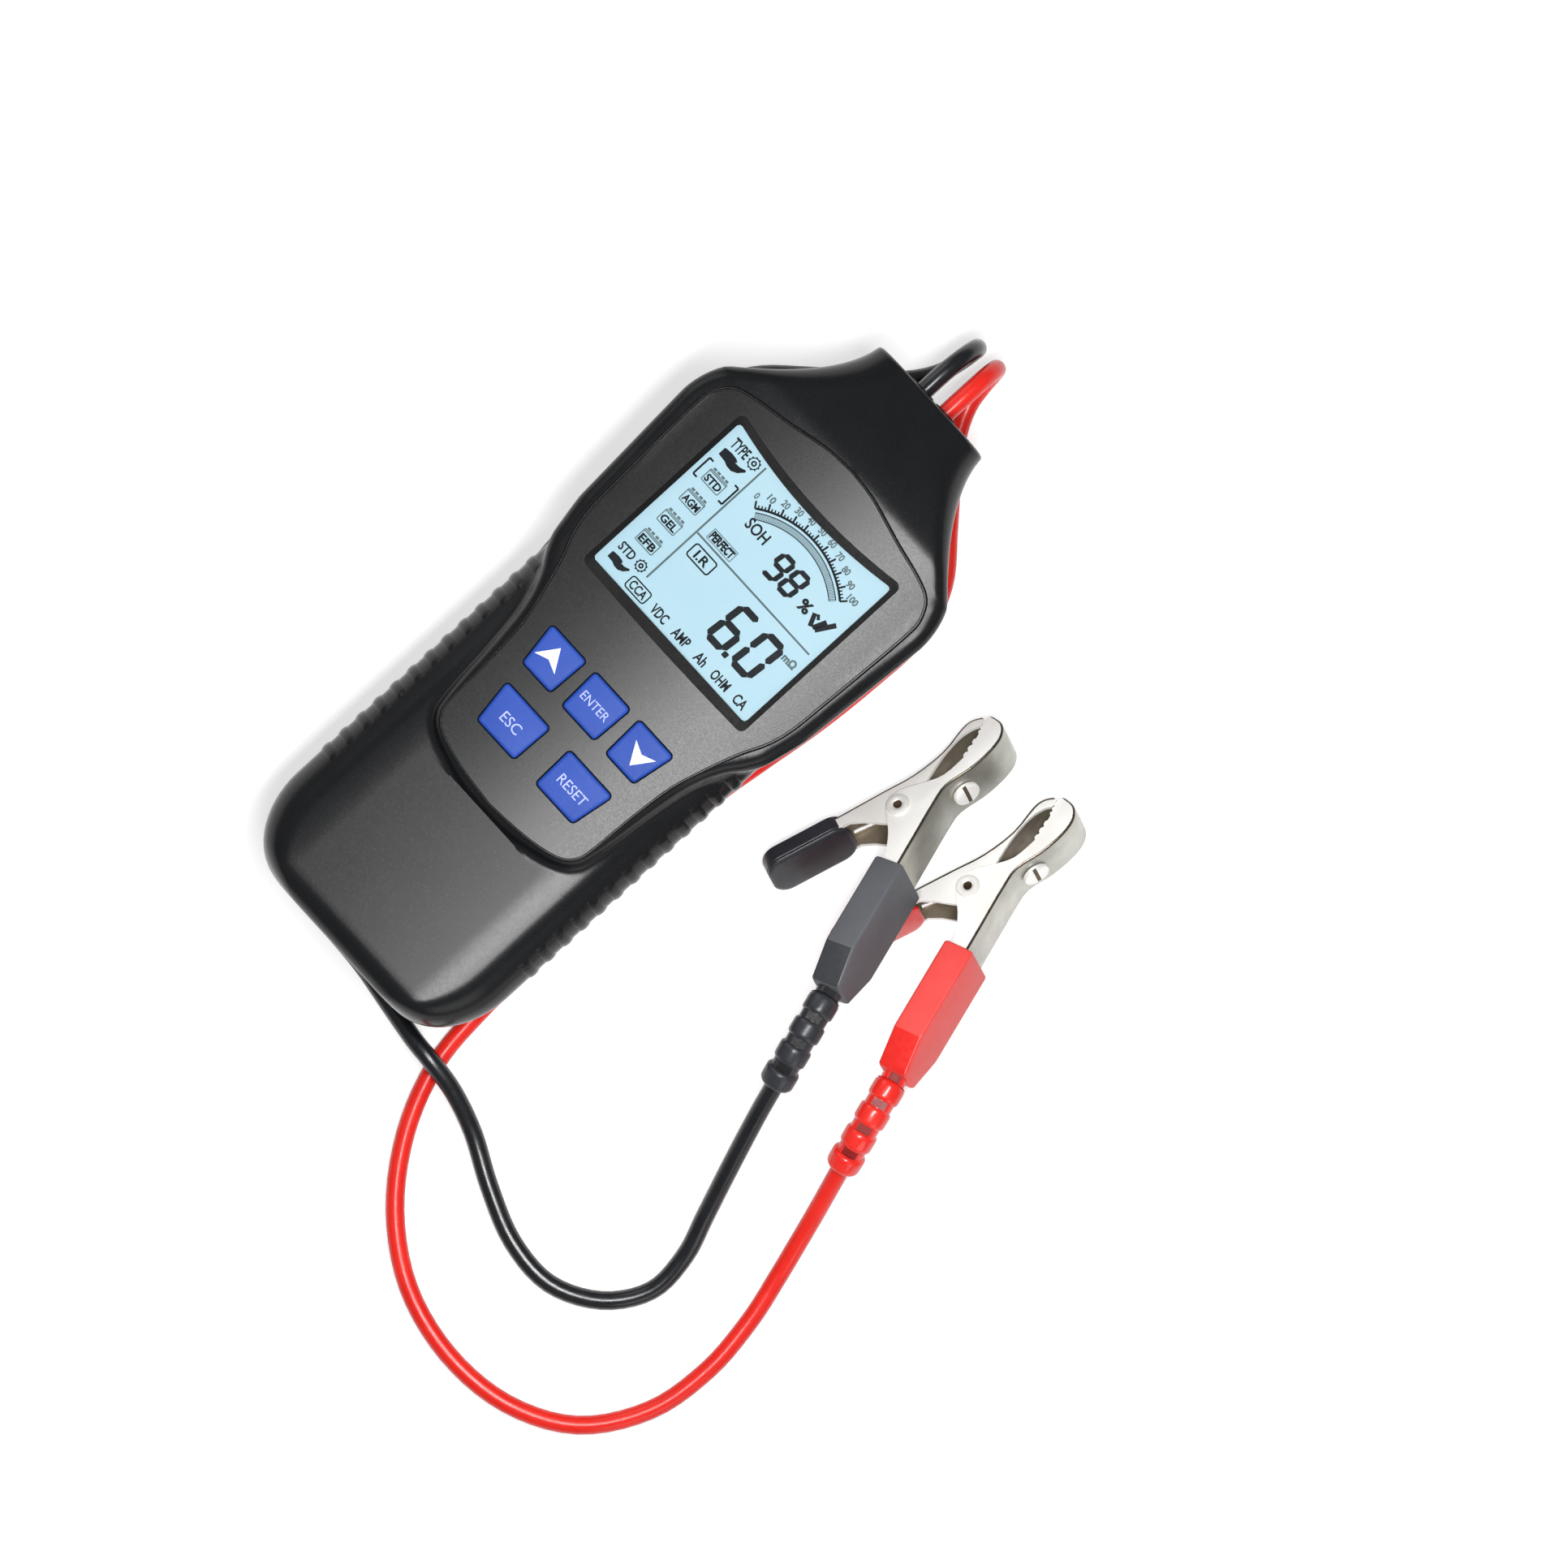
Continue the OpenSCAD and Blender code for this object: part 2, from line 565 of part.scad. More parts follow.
// ---------------------------------------------------------------- clips
// A clip's own frame: origin on the rivet's axis, Y towards the jaws, X towards the lead side.
clip_at = [[72.2, 25.4, 12.75], [98.2, 24.9, 10.85]];
clip_heading = 21.5;
clip_pitch = [22.5, 16.7];
clip_roll = [28, 23];
module clip_pose(i) translate(clip_at[i]) rotate([0, 0, clip_heading]) rotate([-clip_pitch[i], 0, 0])
    rotate([0, -clip_roll[i], 0]) children();

half_jaw = jaw_width / 2;
inner_half = half_jaw - sheet - fit;
fixed_edge = [[7.2, -15.4], [7.9, -7], [8.8, 3.3], [9.8, 8.7], [13.7, 14.4], [16.3, 19.6], [17.6, 24],
    [17.4, 27], [16, 29.2], [13.4, 30.2]];
fixed_plate = concat(fixed_edge, [[11.6, 29.4], [11.4, 26.8], [11.7, 24.4], [10.7, 17.1], [7.9, 11.3],
    [3.9, 7.9], [1, 6], [-1.6, 3.8], [-2.7, 1.2], [-2.6, -1.6], [-1.4, -4], [0.6, -7.4], [2.1, -11.4],
    [3, -15.4]]);
moving_edge = [[9.6, 29.9], [7.6, 28.6], [5.9, 25.7], [3.9, 17.9], [-0.6, 9.9], [-5.8, 3.8], [-13.7, -5.5]];
handle_turn = 228.4;
handle_depth = 3.6;
handle_metal = 20;
handle_dir = [cos(handle_turn), sin(handle_turn)];
handle_in = [-handle_dir.y, handle_dir.x];
handle_start = [-13.7, -5.5];
handle_end = handle_start + handle_metal * handle_dir;
moving_plate = concat(moving_edge, [handle_end, handle_end + handle_depth * handle_in,
    handle_start + handle_depth * handle_in + [0.4, 0.45], [-7.2, -6.2], [-1.6, -5.2], [1.4, -4], [3.2, -1.6],
    [3.8, 2], [3.6, 7.4], [4.6, 16], [6.5, 22.5], [8.8, 26], [10.8, 27.6], [10.9, 29.4]]);

// Sheet metal that follows an outline, on its inner side
function inset_line(p, t) = [for (i = [0:len(p) - 1])
    let (d = unit(p[min(len(p) - 1, i + 1)] - p[max(0, i - 1)])) p[i] + t * [-d.y, d.x]];
module band(p, t, half) translate([0, 0, -half]) linear_extrude(2 * half)
    polygon(concat(p, [for (q = [len(p) - 1:-1:0]) inset_line(p, t)[q]]));
module plates(p, half)
    for (s = [-1, 1])
        translate([0, 0, s > 0 ? half - sheet : -half])
            linear_extrude(sheet)
                polygon(p);

boot_foot = [1.8, -50.8];
boot_lean = -5.4;
boot_end_half = 4.4;
boot_taper = 10;
arm_half = 2.1;
screw_spot = [11.75, 11.55];
screw_lean = -34.4;
clamp_hole = 3;

module boot_frame() translate([boot_foot.x, boot_foot.y, 0]) rotate([0, 0, boot_lean]) children();
module rivet_hole(d) translate([0, 0, -jaw_width]) cylinder(d = d, h = 2 * jaw_width, $fn = 24);
module screw_axis()
    translate([screw_spot.x, screw_spot.y, 0])
        rotate([0, 0, screw_lean])
            rotate([0, 90, 0])
                children();

module fixed_jaw() difference() {
    union() {
        plates(fixed_plate, half_jaw);
        band(fixed_edge, sheet, half_jaw);
        boot_frame() {
            translate([arm_half - sheet, 12.2, -half_jaw])
                cube([sheet, lead_boot_length - 12, jaw_width]);
            for (s = [-1, 1])
                translate([-arm_half, 12.2, s > 0 ? half_jaw - sheet : -half_jaw])
                    cube([2 * arm_half, lead_boot_length - 12, sheet]);
        }
    }
    rivet_hole(rivet_diameter);
    screw_axis() translate([0, 0, -4]) cylinder(d = clamp_hole + 0.1, h = 8, $fn = 24);
}

module moving_jaw() difference() {
    union() {
        plates(moving_plate, inner_half);
        band(concat(moving_edge, [handle_end]), sheet, inner_half);
    }
    rivet_hole(rivet_diameter + 0.1);
}

rivet_head = 6;
module rivet() {
    cylinder(d = rivet_diameter, h = jaw_width, center = true, $fn = 24);
    for (s = [-1, 1])
        translate([0, 0, s > 0 ? half_jaw : -half_jaw - 0.8])
            cylinder(d = rivet_head, h = 0.8, $fn = 24);
}

spring_wire = 1.1;
spring_turns = 4;
spring_radius = rivet_diameter / 2 + spring_wire / 2 + 0.3;
module spring() {
    for (k = [0:spring_turns - 1])
        translate([0, 0, (k - (spring_turns - 1) / 2) * spring_wire])
            rotate_extrude($fn = 32)
                translate([spring_radius, 0])
                    circle(d = spring_wire, $fn = 16);
    leg = (spring_turns - 1) / 2 * spring_wire;
    rod([spring_radius, 0, leg], [5.6, -9, leg], spring_wire);
    rod([-spring_radius * 0.6, spring_radius * 0.75, -leg], [-12.2, -6.2, -leg], spring_wire);
}

clamp_head = 7;
clamp_head_thickness = 1.6;
module clamp_screw() screw_axis() {
    difference() {
        translate([0, 0, fit / 2])
            cylinder(d = clamp_head, h = clamp_head_thickness, $fn = 24);
        translate([-clamp_head, -0.5, clamp_head_thickness - 0.6])
            cube([2 * clamp_head, 1, 2]);
    }
    translate([0, 0, -4.4])
        cylinder(d = clamp_hole, h = 5, $fn = 24);
}

lug_thickness = 0.8;
module lug() {
    screw_axis() difference() {
        translate([0, 0, -sheet - lug_thickness - fit])
            cylinder(d = 6.4, h = lug_thickness, $fn = 24);
        translate([0, 0, -sheet - lug_thickness - 1])
            cylinder(d = clamp_hole + 0.1, h = 3, $fn = 24);
    }
    tube([[8.4, 10.4, 0], [7, 7, 0], [6, 3, 0], [5.5, -3, 0], [4.9, -14, 0]], 1.8);
}

boot_side = lead_boot_width / 2;
module lead_boot() boot_frame() difference() {
    intersection() {
        translate([-lead_boot_thickness / 2, 0, -lead_boot_width])
            cube([lead_boot_thickness, lead_boot_length, 2 * lead_boot_width]);
        rotate([90, 0, 90])
            translate([0, 0, -lead_boot_thickness])
                linear_extrude(2 * lead_boot_thickness)
                    polygon([[0, -boot_end_half], [boot_taper, -boot_side], [lead_boot_length, -boot_side],
                             [lead_boot_length, boot_side], [boot_taper, boot_side], [0, boot_end_half]]);
    }
    translate([-arm_half - fit, 12, -half_jaw - fit])
        cube([2 * (arm_half + fit), lead_boot_length, jaw_width + 2 * fit]);
}

relief_rings = 4;
relief_bend = 50;
relief_core = lead_diameter + 1.6;
relief_arc = relief_length / relief_bend * 180 / PI;
relief_pitch = relief_length / relief_rings;
ring_length = 0.7 * relief_pitch;
lead_in = 3;
// Puts a piece on the strain relief's arc, turned by an angle from the boot's end
module on_arc(angle)
    translate([0, 0, -relief_arc])
        rotate([angle, 0, 0])
            translate([0, 0, relief_arc])
                children();
module relief(i) boot_frame() rotate([0, clip_roll[i], 0]) difference() {
    union() {
        translate([0, 0, -relief_arc])
            multmatrix([[0, 0, 1, 0], [0, -1, 0, 0], [1, 0, 0, 0], [0, 0, 0, 1]])
                rotate_extrude(angle = relief_bend, $fn = 64)
                    translate([relief_arc, 0])
                        circle(d = relief_core, $fn = 24);
        for (k = [0:relief_rings - 1])
            on_arc(relief_bend * (k + 0.65) / relief_rings)
                rotate([90, 0, 0])
                    cylinder(d = relief_diameter, h = ring_length, center = true, $fn = 24);
    }
    on_arc(relief_bend)
        translate([0, lead_in, 0])
            rotate([90, 0, 0])
                cylinder(d = lead_diameter + 6 * fit, h = 2 * lead_in, $fn = 24);
}

handle_boot_start = 0.2;
handle_boot_in = -0.9;
handle_boot_thickness = handle_depth + 2;
module handle_boot() translate([handle_start.x, handle_start.y, 0]) rotate([0, 0, handle_turn]) difference() {
    rotate([-90, 0, 0])
        translate([0, 0, handle_boot_in])
            linear_extrude(handle_boot_thickness)
                polygon(rounded([[handle_boot_start, -handle_boot_width / 2],
                    [handle_boot_length, -handle_boot_width / 2], [handle_boot_length, handle_boot_width / 2],
                    [handle_boot_start, handle_boot_width / 2]], 4.5, 4));
    translate([handle_boot_start - 5, -fit, -inner_half - fit])
        cube([handle_metal - handle_boot_start + 5 + fit, handle_depth + 2 * fit, 2 * (inner_half + fit)]);
}

black = [0.09, 0.09, 0.1];
red = [0.9, 0.12, 0.1];
nickel = [0.82, 0.8, 0.76];
module black_fixed_jaw() color(nickel) clip_pose(0) fixed_jaw();
module black_moving_jaw() color(nickel) clip_pose(0) moving_jaw();
module black_rivet() color(nickel) clip_pose(0) rivet();
module black_spring() color(nickel) clip_pose(0) spring();
module black_clamp_screw() color(nickel) clip_pose(0) clamp_screw();
module black_lug() color(black) clip_pose(0) lug();
module black_lead_boot() color([0.25, 0.26, 0.28]) clip_pose(0) lead_boot();
module black_relief() color(black) clip_pose(0) relief(0);
module black_handle_boot() color(black) clip_pose(0) handle_boot();
module red_fixed_jaw() color(nickel) clip_pose(1) fixed_jaw();
module red_moving_jaw() color(nickel) clip_pose(1) moving_jaw();
module red_rivet() color(nickel) clip_pose(1) rivet();
module red_spring() color(nickel) clip_pose(1) spring();
module red_clamp_screw() color(nickel) clip_pose(1) clamp_screw();
module red_lug() color(red) clip_pose(1) lug();
module red_lead_boot() color(red) clip_pose(1) lead_boot();
module red_relief() color(red) clip_pose(1) relief(1);
module red_handle_boot() color(red) clip_pose(1) handle_boot();

front_shell();
rear_shell();
face_panel();
display_window();
display_glass();
display_frame();
backlight();
main_board();
keypad_sheet();
key_switches();
key(0);  // key_up
key(1);  // key_enter
key(2);  // key_down
key(3);  // key_esc
key(4);  // key_reset
case_screws();
processor();
load_resistors();
relay();
capacitor();
buzzer();
lead_terminals();
lead_tails();
lead_clamp();
clamp_screws();
black_grommet();
red_grommet();
black_lead();
red_lead();
black_fixed_jaw();
black_moving_jaw();
black_rivet();
black_spring();
black_clamp_screw();
black_lug();
black_lead_boot();
black_relief();
black_handle_boot();
red_fixed_jaw();
red_moving_jaw();
red_rivet();
red_spring();
red_clamp_screw();
red_lug();
red_lead_boot();
red_relief();
red_handle_boot();
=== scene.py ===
# Looks of the battery tester: camera and leads first, then the body, its face, and the clips.
# Lengths are written in millimetres and turned into metres where a mesh is made.
import math
import bmesh
import bpy
import numpy as np
from mathutils import Matrix, Vector


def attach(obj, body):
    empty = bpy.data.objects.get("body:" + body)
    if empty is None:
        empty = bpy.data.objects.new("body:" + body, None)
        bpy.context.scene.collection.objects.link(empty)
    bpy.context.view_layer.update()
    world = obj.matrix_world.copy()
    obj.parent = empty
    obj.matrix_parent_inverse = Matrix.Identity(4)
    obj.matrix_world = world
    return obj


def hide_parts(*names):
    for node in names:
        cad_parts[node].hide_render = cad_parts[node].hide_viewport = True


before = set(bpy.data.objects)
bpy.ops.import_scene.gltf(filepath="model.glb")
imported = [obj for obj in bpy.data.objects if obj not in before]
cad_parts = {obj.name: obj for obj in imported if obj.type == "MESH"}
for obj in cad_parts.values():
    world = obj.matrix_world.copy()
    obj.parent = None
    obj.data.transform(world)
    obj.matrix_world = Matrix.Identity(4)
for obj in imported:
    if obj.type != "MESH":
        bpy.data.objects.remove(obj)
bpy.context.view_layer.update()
scene = bpy.context.scene
MM = 0.001
BODY = "tester"


# ---------- materials
def new_material(name):
    m = bpy.data.materials.new(name)
    m.use_nodes = True
    nt = m.node_tree
    nt.nodes.clear()
    out = nt.nodes.new("ShaderNodeOutputMaterial")
    bsdf = nt.nodes.new("ShaderNodeBsdfPrincipled")
    nt.links.new(bsdf.outputs[0], out.inputs[0])
    return m, nt, bsdf


def fill(node, values):
    """Sets inputs of a node by their names."""
    for key, value in values.items():
        node.inputs[key].default_value = value


def noise(nt, scale, detail=3.0):
    n = nt.nodes.new("ShaderNodeTexNoise")
    fill(n, {"Scale": scale, "Detail": detail, "Roughness": 0.55})
    nt.links.new(nt.nodes.new("ShaderNodeTexCoord").outputs["Object"], n.inputs["Vector"])
    return n.outputs["Fac"]


def remap(nt, value, a0, a1, b0, b1):
    r = nt.nodes.new("ShaderNodeMapRange")
    fill(r, {"From Min": a0, "From Max": a1, "To Min": b0, "To Max": b1})
    nt.links.new(value, r.inputs["Value"])
    return r.outputs["Result"]


def blend_colour(nt, fac, low, high):
    mix = nt.nodes.new("ShaderNodeMix")
    mix.data_type = "RGBA"
    fill(mix, {"A": (*low, 1), "B": (*high, 1)})
    nt.links.new(fac, mix.inputs["Factor"])
    return mix.outputs["Result"]


NOISE_LOW, NOISE_HIGH = 0.3, 0.7  # nearly all of a noise lies between these


def surface(name, low, high, rough, grain, depth, patch=90.0, metal=0.0, spec=0.5, coat=0.0,
            coat_rough=0.1, rough_swing=0.06, fine=0.0):
    """Moulded, dipped or plated: colour drifts in patches, the grain is bumped, gloss varies.

    The two colours between which it drifts are given in thousandths."""
    m, nt, b = new_material(name)
    low, high = [[v / 1000 for v in colour] for colour in (low, high)]
    drift = remap(nt, noise(nt, patch), NOISE_LOW, NOISE_HIGH, 0.0, 1.0)
    speck = noise(nt, grain, 2.0)
    both = nt.nodes.new("ShaderNodeMath")
    both.operation = "MULTIPLY_ADD"
    both.inputs[1].default_value = fine
    nt.links.new(speck, both.inputs[0])
    nt.links.new(remap(nt, drift, 0, 1, 0, 1 - fine), both.inputs[2])
    nt.links.new(blend_colour(nt, both.outputs[0], low, high), b.inputs["Base Color"])
    gloss = remap(nt, speck, NOISE_LOW, NOISE_HIGH, rough - rough_swing, rough + rough_swing)
    nt.links.new(gloss, b.inputs["Roughness"])
    bump = nt.nodes.new("ShaderNodeBump")
    fill(bump, {"Strength": 1.0, "Distance": depth * MM})
    nt.links.new(speck, bump.inputs["Height"])
    nt.links.new(bump.outputs[0], b.inputs["Normal"])
    fill(b, {"Metallic": metal, "Specular IOR Level": spec, "Coat Weight": coat,
             "Coat Roughness": coat_rough})
    return m


CASE = surface(
    "case_plastic", (6, 6.5, 7.2), (11, 11.5, 12.8), 0.26, 1500, 0.006, spec=0.25, fine=0.5,
    rough_swing=0.02)
PANEL = surface(
    "panel_plastic", (6, 6.3, 7), (20, 20.5, 21.5), 0.31, 1900, 0.011, spec=0.3, fine=0.8,
    rough_swing=0.03)
# Painted shade: the sloping window edge is coloured darker than the panel
EDGE = surface("window_edge_painted_shade", (4, 4, 4.2), (7, 7, 7.4), 0.55, 1500, 0.006, spec=0.15)
# Black of the small black parts, and painted shade inside the boots' cavities and the black
# relief's windows
BLACK_AND_CAVITY_SHADE = surface("black_parts_and_cavity_shade", (5, 5, 6), (9, 9, 10), 0.5, 1200, 0.02, spec=0.3)
KEY = surface("key_blue", (14, 62, 370), (20, 74, 420), 0.5, 1300, 0.012, spec=0.25)
LEGEND = surface("legend_white", (800, 830, 920), (880, 900, 960), 0.5, 1200, 0.01)
LEGEND_SOFT = surface("legend_pale", (360, 420, 820), (440, 500, 880), 0.5, 1200, 0.01)
LCD = surface("lcd_face", (440, 675, 785), (480, 710, 820), 0.5, 900, 0.0, patch=30, spec=0.2)
INK = surface("lcd_ink", (5, 8, 12), (9, 13, 17), 0.6, 900, 0.0, spec=0.1)
INK_SOFT = surface("lcd_ink_soft", (100, 150, 160), (125, 180, 195), 0.6, 900, 0.0, spec=0.1)
BLACK_LEAD = surface(
    "black_silicone", (6, 7, 9), (11, 12, 15), 0.3, 500, 0.006, spec=0.4, coat=0.25,
    coat_rough=0.18)
RED_LEAD = surface(
    "red_silicone", (740, 14, 8), (840, 24, 14), 0.34, 500, 0.006, spec=0.35, coat=0.15,
    coat_rough=0.2)
BLACK_VINYL = surface(
    "black_vinyl", (22, 23, 28), (34, 35, 43), 0.36, 400, 0.004, coat=0.05, coat_rough=0.25)
GREY_BOOT = surface("grey_boot", (85, 90, 100), (120, 126, 140), 0.55, 1300, 0.05, fine=0.6)
# Darker copies of the boots' colours, painted as shade on the tapering ends
GREY_BOOT_SHADE = surface("grey_boot_painted_shade", (34, 36, 42), (50, 53, 60), 0.42, 700, 0.03, fine=0.4)
RED_VINYL = surface("red_vinyl", (760, 14, 9), (860, 30, 20), 0.3, 400, 0.02, coat=0.3)
RED_SHADE = surface("red_shade", (200, 3, 3), (270, 6, 5), 0.5, 400, 0.02)
RED_BOOT = surface("red_boot", (800, 50, 42), (900, 85, 75), 0.46, 1200, 0.04, fine=0.6)
RED_BOOT_SHADE = surface("red_boot_painted_shade", (740, 14, 10), (840, 28, 20), 0.36, 700, 0.03, fine=0.4)
# Lit and shaded copies of one nickel plate: the cheeks painted near white as a lit reflection, the
# strap darker as shade
CHEEK_LIT = surface(
    "nickel_cheek_painted_lit", (860, 835, 790), (960, 945, 920), 0.36, 700, 0.0, metal=0.15, patch=70,
    rough_swing=0.05)
STRAP_SHADE = surface(
    "nickel_strap_painted_shade", (320, 315, 280), (540, 530, 480), 0.34, 700, 0.0, metal=0.85, patch=60,
    rough_swing=0.06)
# Painted dark reflection along the bends between cheek and strap
FOLD_REFLECTION = surface("nickel_fold_painted_reflection", (100, 85, 65), (200, 170, 140), 0.3, 700, 0.004, metal=1.0)
# Painted shade: a darker brown copy of the nickel inside channels and holes
INSIDE_SHADE = surface(
    "nickel_inside_painted_shade", (160, 125, 85), (320, 270, 200), 0.45, 500, 0.0, metal=0.5, patch=120)
RIVET = surface("rivet_nickel", (800, 780, 730), (900, 880, 840), 0.36, 500, 0.0, metal=0.25)
# Painted shade in the rivet's bore and the screw's slot
BORE_SHADE = surface("bore_painted_shade", (80, 50, 30), (130, 85, 55), 0.5, 500, 0.01, metal=0.3)
SCREW = surface("zinc_plate", (500, 500, 520), (620, 620, 640), 0.33, 700, 0.012, metal=1.0)
# A near-white copy of the plated screw, painted as its highlight
SCREW_GLINT = surface(
    "screw_painted_glint", (900, 890, 870), (970, 960, 940), 0.34, 700, 0.003, metal=0.3)
BRASS = surface("brass", (550, 400, 160), (660, 500, 220), 0.32, 500, 0.01, metal=1.0)
BOARD = surface("solder_mask", (12, 110, 40), (20, 160, 60), 0.35, 700, 0.02, patch=400)
CERAMIC = surface("ceramic", (620, 600, 540), (720, 700, 640), 0.7, 900, 0.05)
BLUE_CASE = surface("relay_case", (20, 50, 160), (30, 70, 220), 0.35, 700, 0.02)
SHEET = surface("grey_silicone", (320, 330, 350), (400, 410, 430), 0.55, 700, 0.02)
GUIDE = surface("light_guide", (760, 800, 820), (840, 880, 900), 0.5, 500, 0.01)
WINDOW = surface(
    "clear_window", (20, 22, 24), (30, 33, 36), 0.22, 300, 0.0, rough_swing=0.02, spec=0.2)
WINDOW.node_tree.nodes["Principled BSDF"].inputs["Alpha"].default_value = 0.05


# ---------- mesh helpers
def finish_object(obj, body, replaces=(), angle=35):
    """Shades smooth below an angle, says which body the piece belongs to, and hides the nodes it
    replaces.
    """
    obj.data.polygons.foreach_set("use_smooth", [True] * len(obj.data.polygons))
    obj.data.set_sharp_from_angle(angle=math.radians(angle))
    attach(obj, body)
    if replaces:
        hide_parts(*replaces)


def linked(name, data):
    obj = bpy.data.objects.new(name, data)
    scene.collection.objects.link(obj)
    return obj


def cover(mesh, materials):
    mesh.materials.clear()
    for m in materials:
        mesh.materials.append(m)


def raw_object(name, verts, faces, materials):
    me = bpy.data.meshes.new(name)
    me.from_pydata((np.asarray(verts, float) * MM).tolist(), [], [list(f) for f in faces])
    me.update()
    cover(me, materials)
    return linked(name, me)


def evaluated(obj):
    """The mesh an object shows: with its modifiers, or from its curve or text."""
    dg = bpy.context.evaluated_depsgraph_get()
    return bpy.data.meshes.new_from_object(
        obj.evaluated_get(dg), preserve_all_data_layers=True, depsgraph=dg)


def curve_mesh(data):
    obj = linked("curve", data)
    me = evaluated(obj)
    bpy.data.objects.remove(obj)
    return me


def bake(obj):
    me = evaluated(obj)
    obj.modifiers.clear()
    obj.data = me


class Editing:
    """Opens an object's mesh as a bmesh and writes it back."""

    def __init__(self, obj):
        self.mesh, self.bm = obj.data, bmesh.new()
        self.bm.from_mesh(self.mesh)

    def __enter__(self):
        return self.bm

    def __exit__(self, *failure):
        self.bm.to_mesh(self.mesh)
        self.bm.free()


def tidy_normals(obj):
    with Editing(obj) as bm:
        bmesh.ops.recalc_face_normals(bm, faces=bm.faces)
    return obj


def boolean(obj, other, operation="DIFFERENCE", keep=False, transfer=False):
    m = obj.modifiers.new("b", "BOOLEAN")
    m.material_mode = "TRANSFER" if transfer else "INDEX"
    m.object = other
    m.operation = operation
    m.solver = "EXACT"
    bake(obj)
    if not keep:
        bpy.data.objects.remove(other)


def merged(name, parts):
    """Several closed pieces that don't touch, as one mesh."""
    bm = bmesh.new()
    for part in parts:
        bm.from_mesh(part.data)
        bpy.data.objects.remove(part)
    me = bpy.data.meshes.new(name)
    bm.to_mesh(me)
    bm.free()
    return linked(name, me)


def grid_faces(rows, cols, close_rows=False):
    """Faces between the neighbours in a row of closed rings."""
    out = []
    for i in range(rows if close_rows else rows - 1):
        a, b = i * cols, (i + 1) % rows * cols
        for j in range(cols):
            k = (j + 1) % cols
            out.append((a + j, a + k, b + k, b + j))
    return out


def loft(name, rings, materials=()):
    """A closed solid from rings of equal length."""
    n, last = len(rings[0]), (len(rings) - 1) * len(rings[0])
    faces = grid_faces(len(rings), n)
    faces += [tuple(range(n))[::-1], tuple(range(last, last + n))]
    verts = np.concatenate([np.asarray(r, float) for r in rings])
    return tidy_normals(raw_object(name, verts, faces, materials))


def level(outline, z):
    """A plane outline put at the height z."""
    return np.c_[np.asarray(outline, float), np.full(len(outline), z)]


def prism(name, outline, z0, z1, materials=()):
    return loft(name, [level(outline, z0), level(outline, z1)], materials)


def circle(sides):
    a = np.arange(sides) * 2 * math.pi / sides
    return np.c_[np.cos(a), np.sin(a)]


def disc(name, x, y, z0, z1, r, sides=40):
    return prism(name, r * circle(sides) + (x, y), z0, z1)


def revolve(name, profile, sides, materials, closed=False):
    """A turned piece about Z from a profile of radius and height."""
    rings = [level(r * circle(sides), z) for r, z in profile]
    if not closed:
        return loft(name, rings, materials)
    faces = grid_faces(len(rings), sides, close_rows=True)
    return tidy_normals(raw_object(name, np.concatenate(rings), faces, materials))


def rectangle(x0, y0, x1, y1):
    return [(x0, y0), (x1, y0), (x1, y1), (x0, y1)]


def unit(v):
    return v / np.linalg.norm(v)


def units(v):
    return v / np.maximum(np.linalg.norm(v, axis=1), 1e-9)[:, None]


def grow(p, d):
    """A closed outline moved outwards by d."""
    p = np.asarray(p, float)
    area = np.sum(p[:, 0] * np.roll(p[:, 1], -1) - np.roll(p[:, 0], -1) * p[:, 1])
    a = p - np.roll(p, 1, 0)
    before = units(np.c_[a[:, 1], -a[:, 0]])
    n = units(before + np.roll(before, -1, 0))
    cosine = np.maximum(np.sum(n * before, axis=1), 0.5)
    return p + n * (d / cosine)[:, None] * (1 if area > 0 else -1)


def catmull(points, n):
    """A smooth curve through the points, n steps between each two."""
    p = np.asarray(points, float)
    out = []
    for i in range(len(p) - 1):
        a, b, c, d = p[max(0, i - 1)], p[i], p[i + 1], p[min(len(p) - 1, i + 2)]
        for k in range(n):
            t = k / n
            out.append(0.5 * (2 * b + (c - a) * t + (2 * a - 5 * b + 4 * c - d) * t * t
                              + (3 * b - a - 3 * c + d) * t ** 3))
    out.append(p[-1])
    return np.array(out)


def rounded(p, r, steps=5, straight=-1.0):
    """An outline with rounded corners, apart from those whose cosine isn't above straight."""
    p = np.asarray(p, float)
    out = []
    for i, b in enumerate(p):
        u, v = unit(p[i - 1] - b), unit(p[(i + 1) % len(p)] - b)
        if u @ v <= straight:
            out.append(b)
            continue
        half = math.acos(float(np.clip(u @ v, -1, 1))) / 2
        c = b + unit(u + v) * r / math.sin(half)
        s, e = b + u * r / math.tan(half) - c, b + v * r / math.tan(half) - c
        out += [c + unit(s + (e - s) * k / steps) * r for k in range(steps + 1)]
    return np.array(out)


def tube_rings(path, radius, sides):
    """Rings across a path, turned as little as possible from one to the next."""
    path = np.asarray(path, float)
    tangents = units(np.gradient(path, axis=0))
    side = np.cross(tangents[0], [0, 0, 1.0])
    rings = []
    c, s = np.hsplit(circle(sides), 2)
    for p, t in zip(path, tangents):
        side = unit(side - t * (side @ t))
        rings.append(p + radius * (c * side + s * np.cross(side, t)))
    return rings


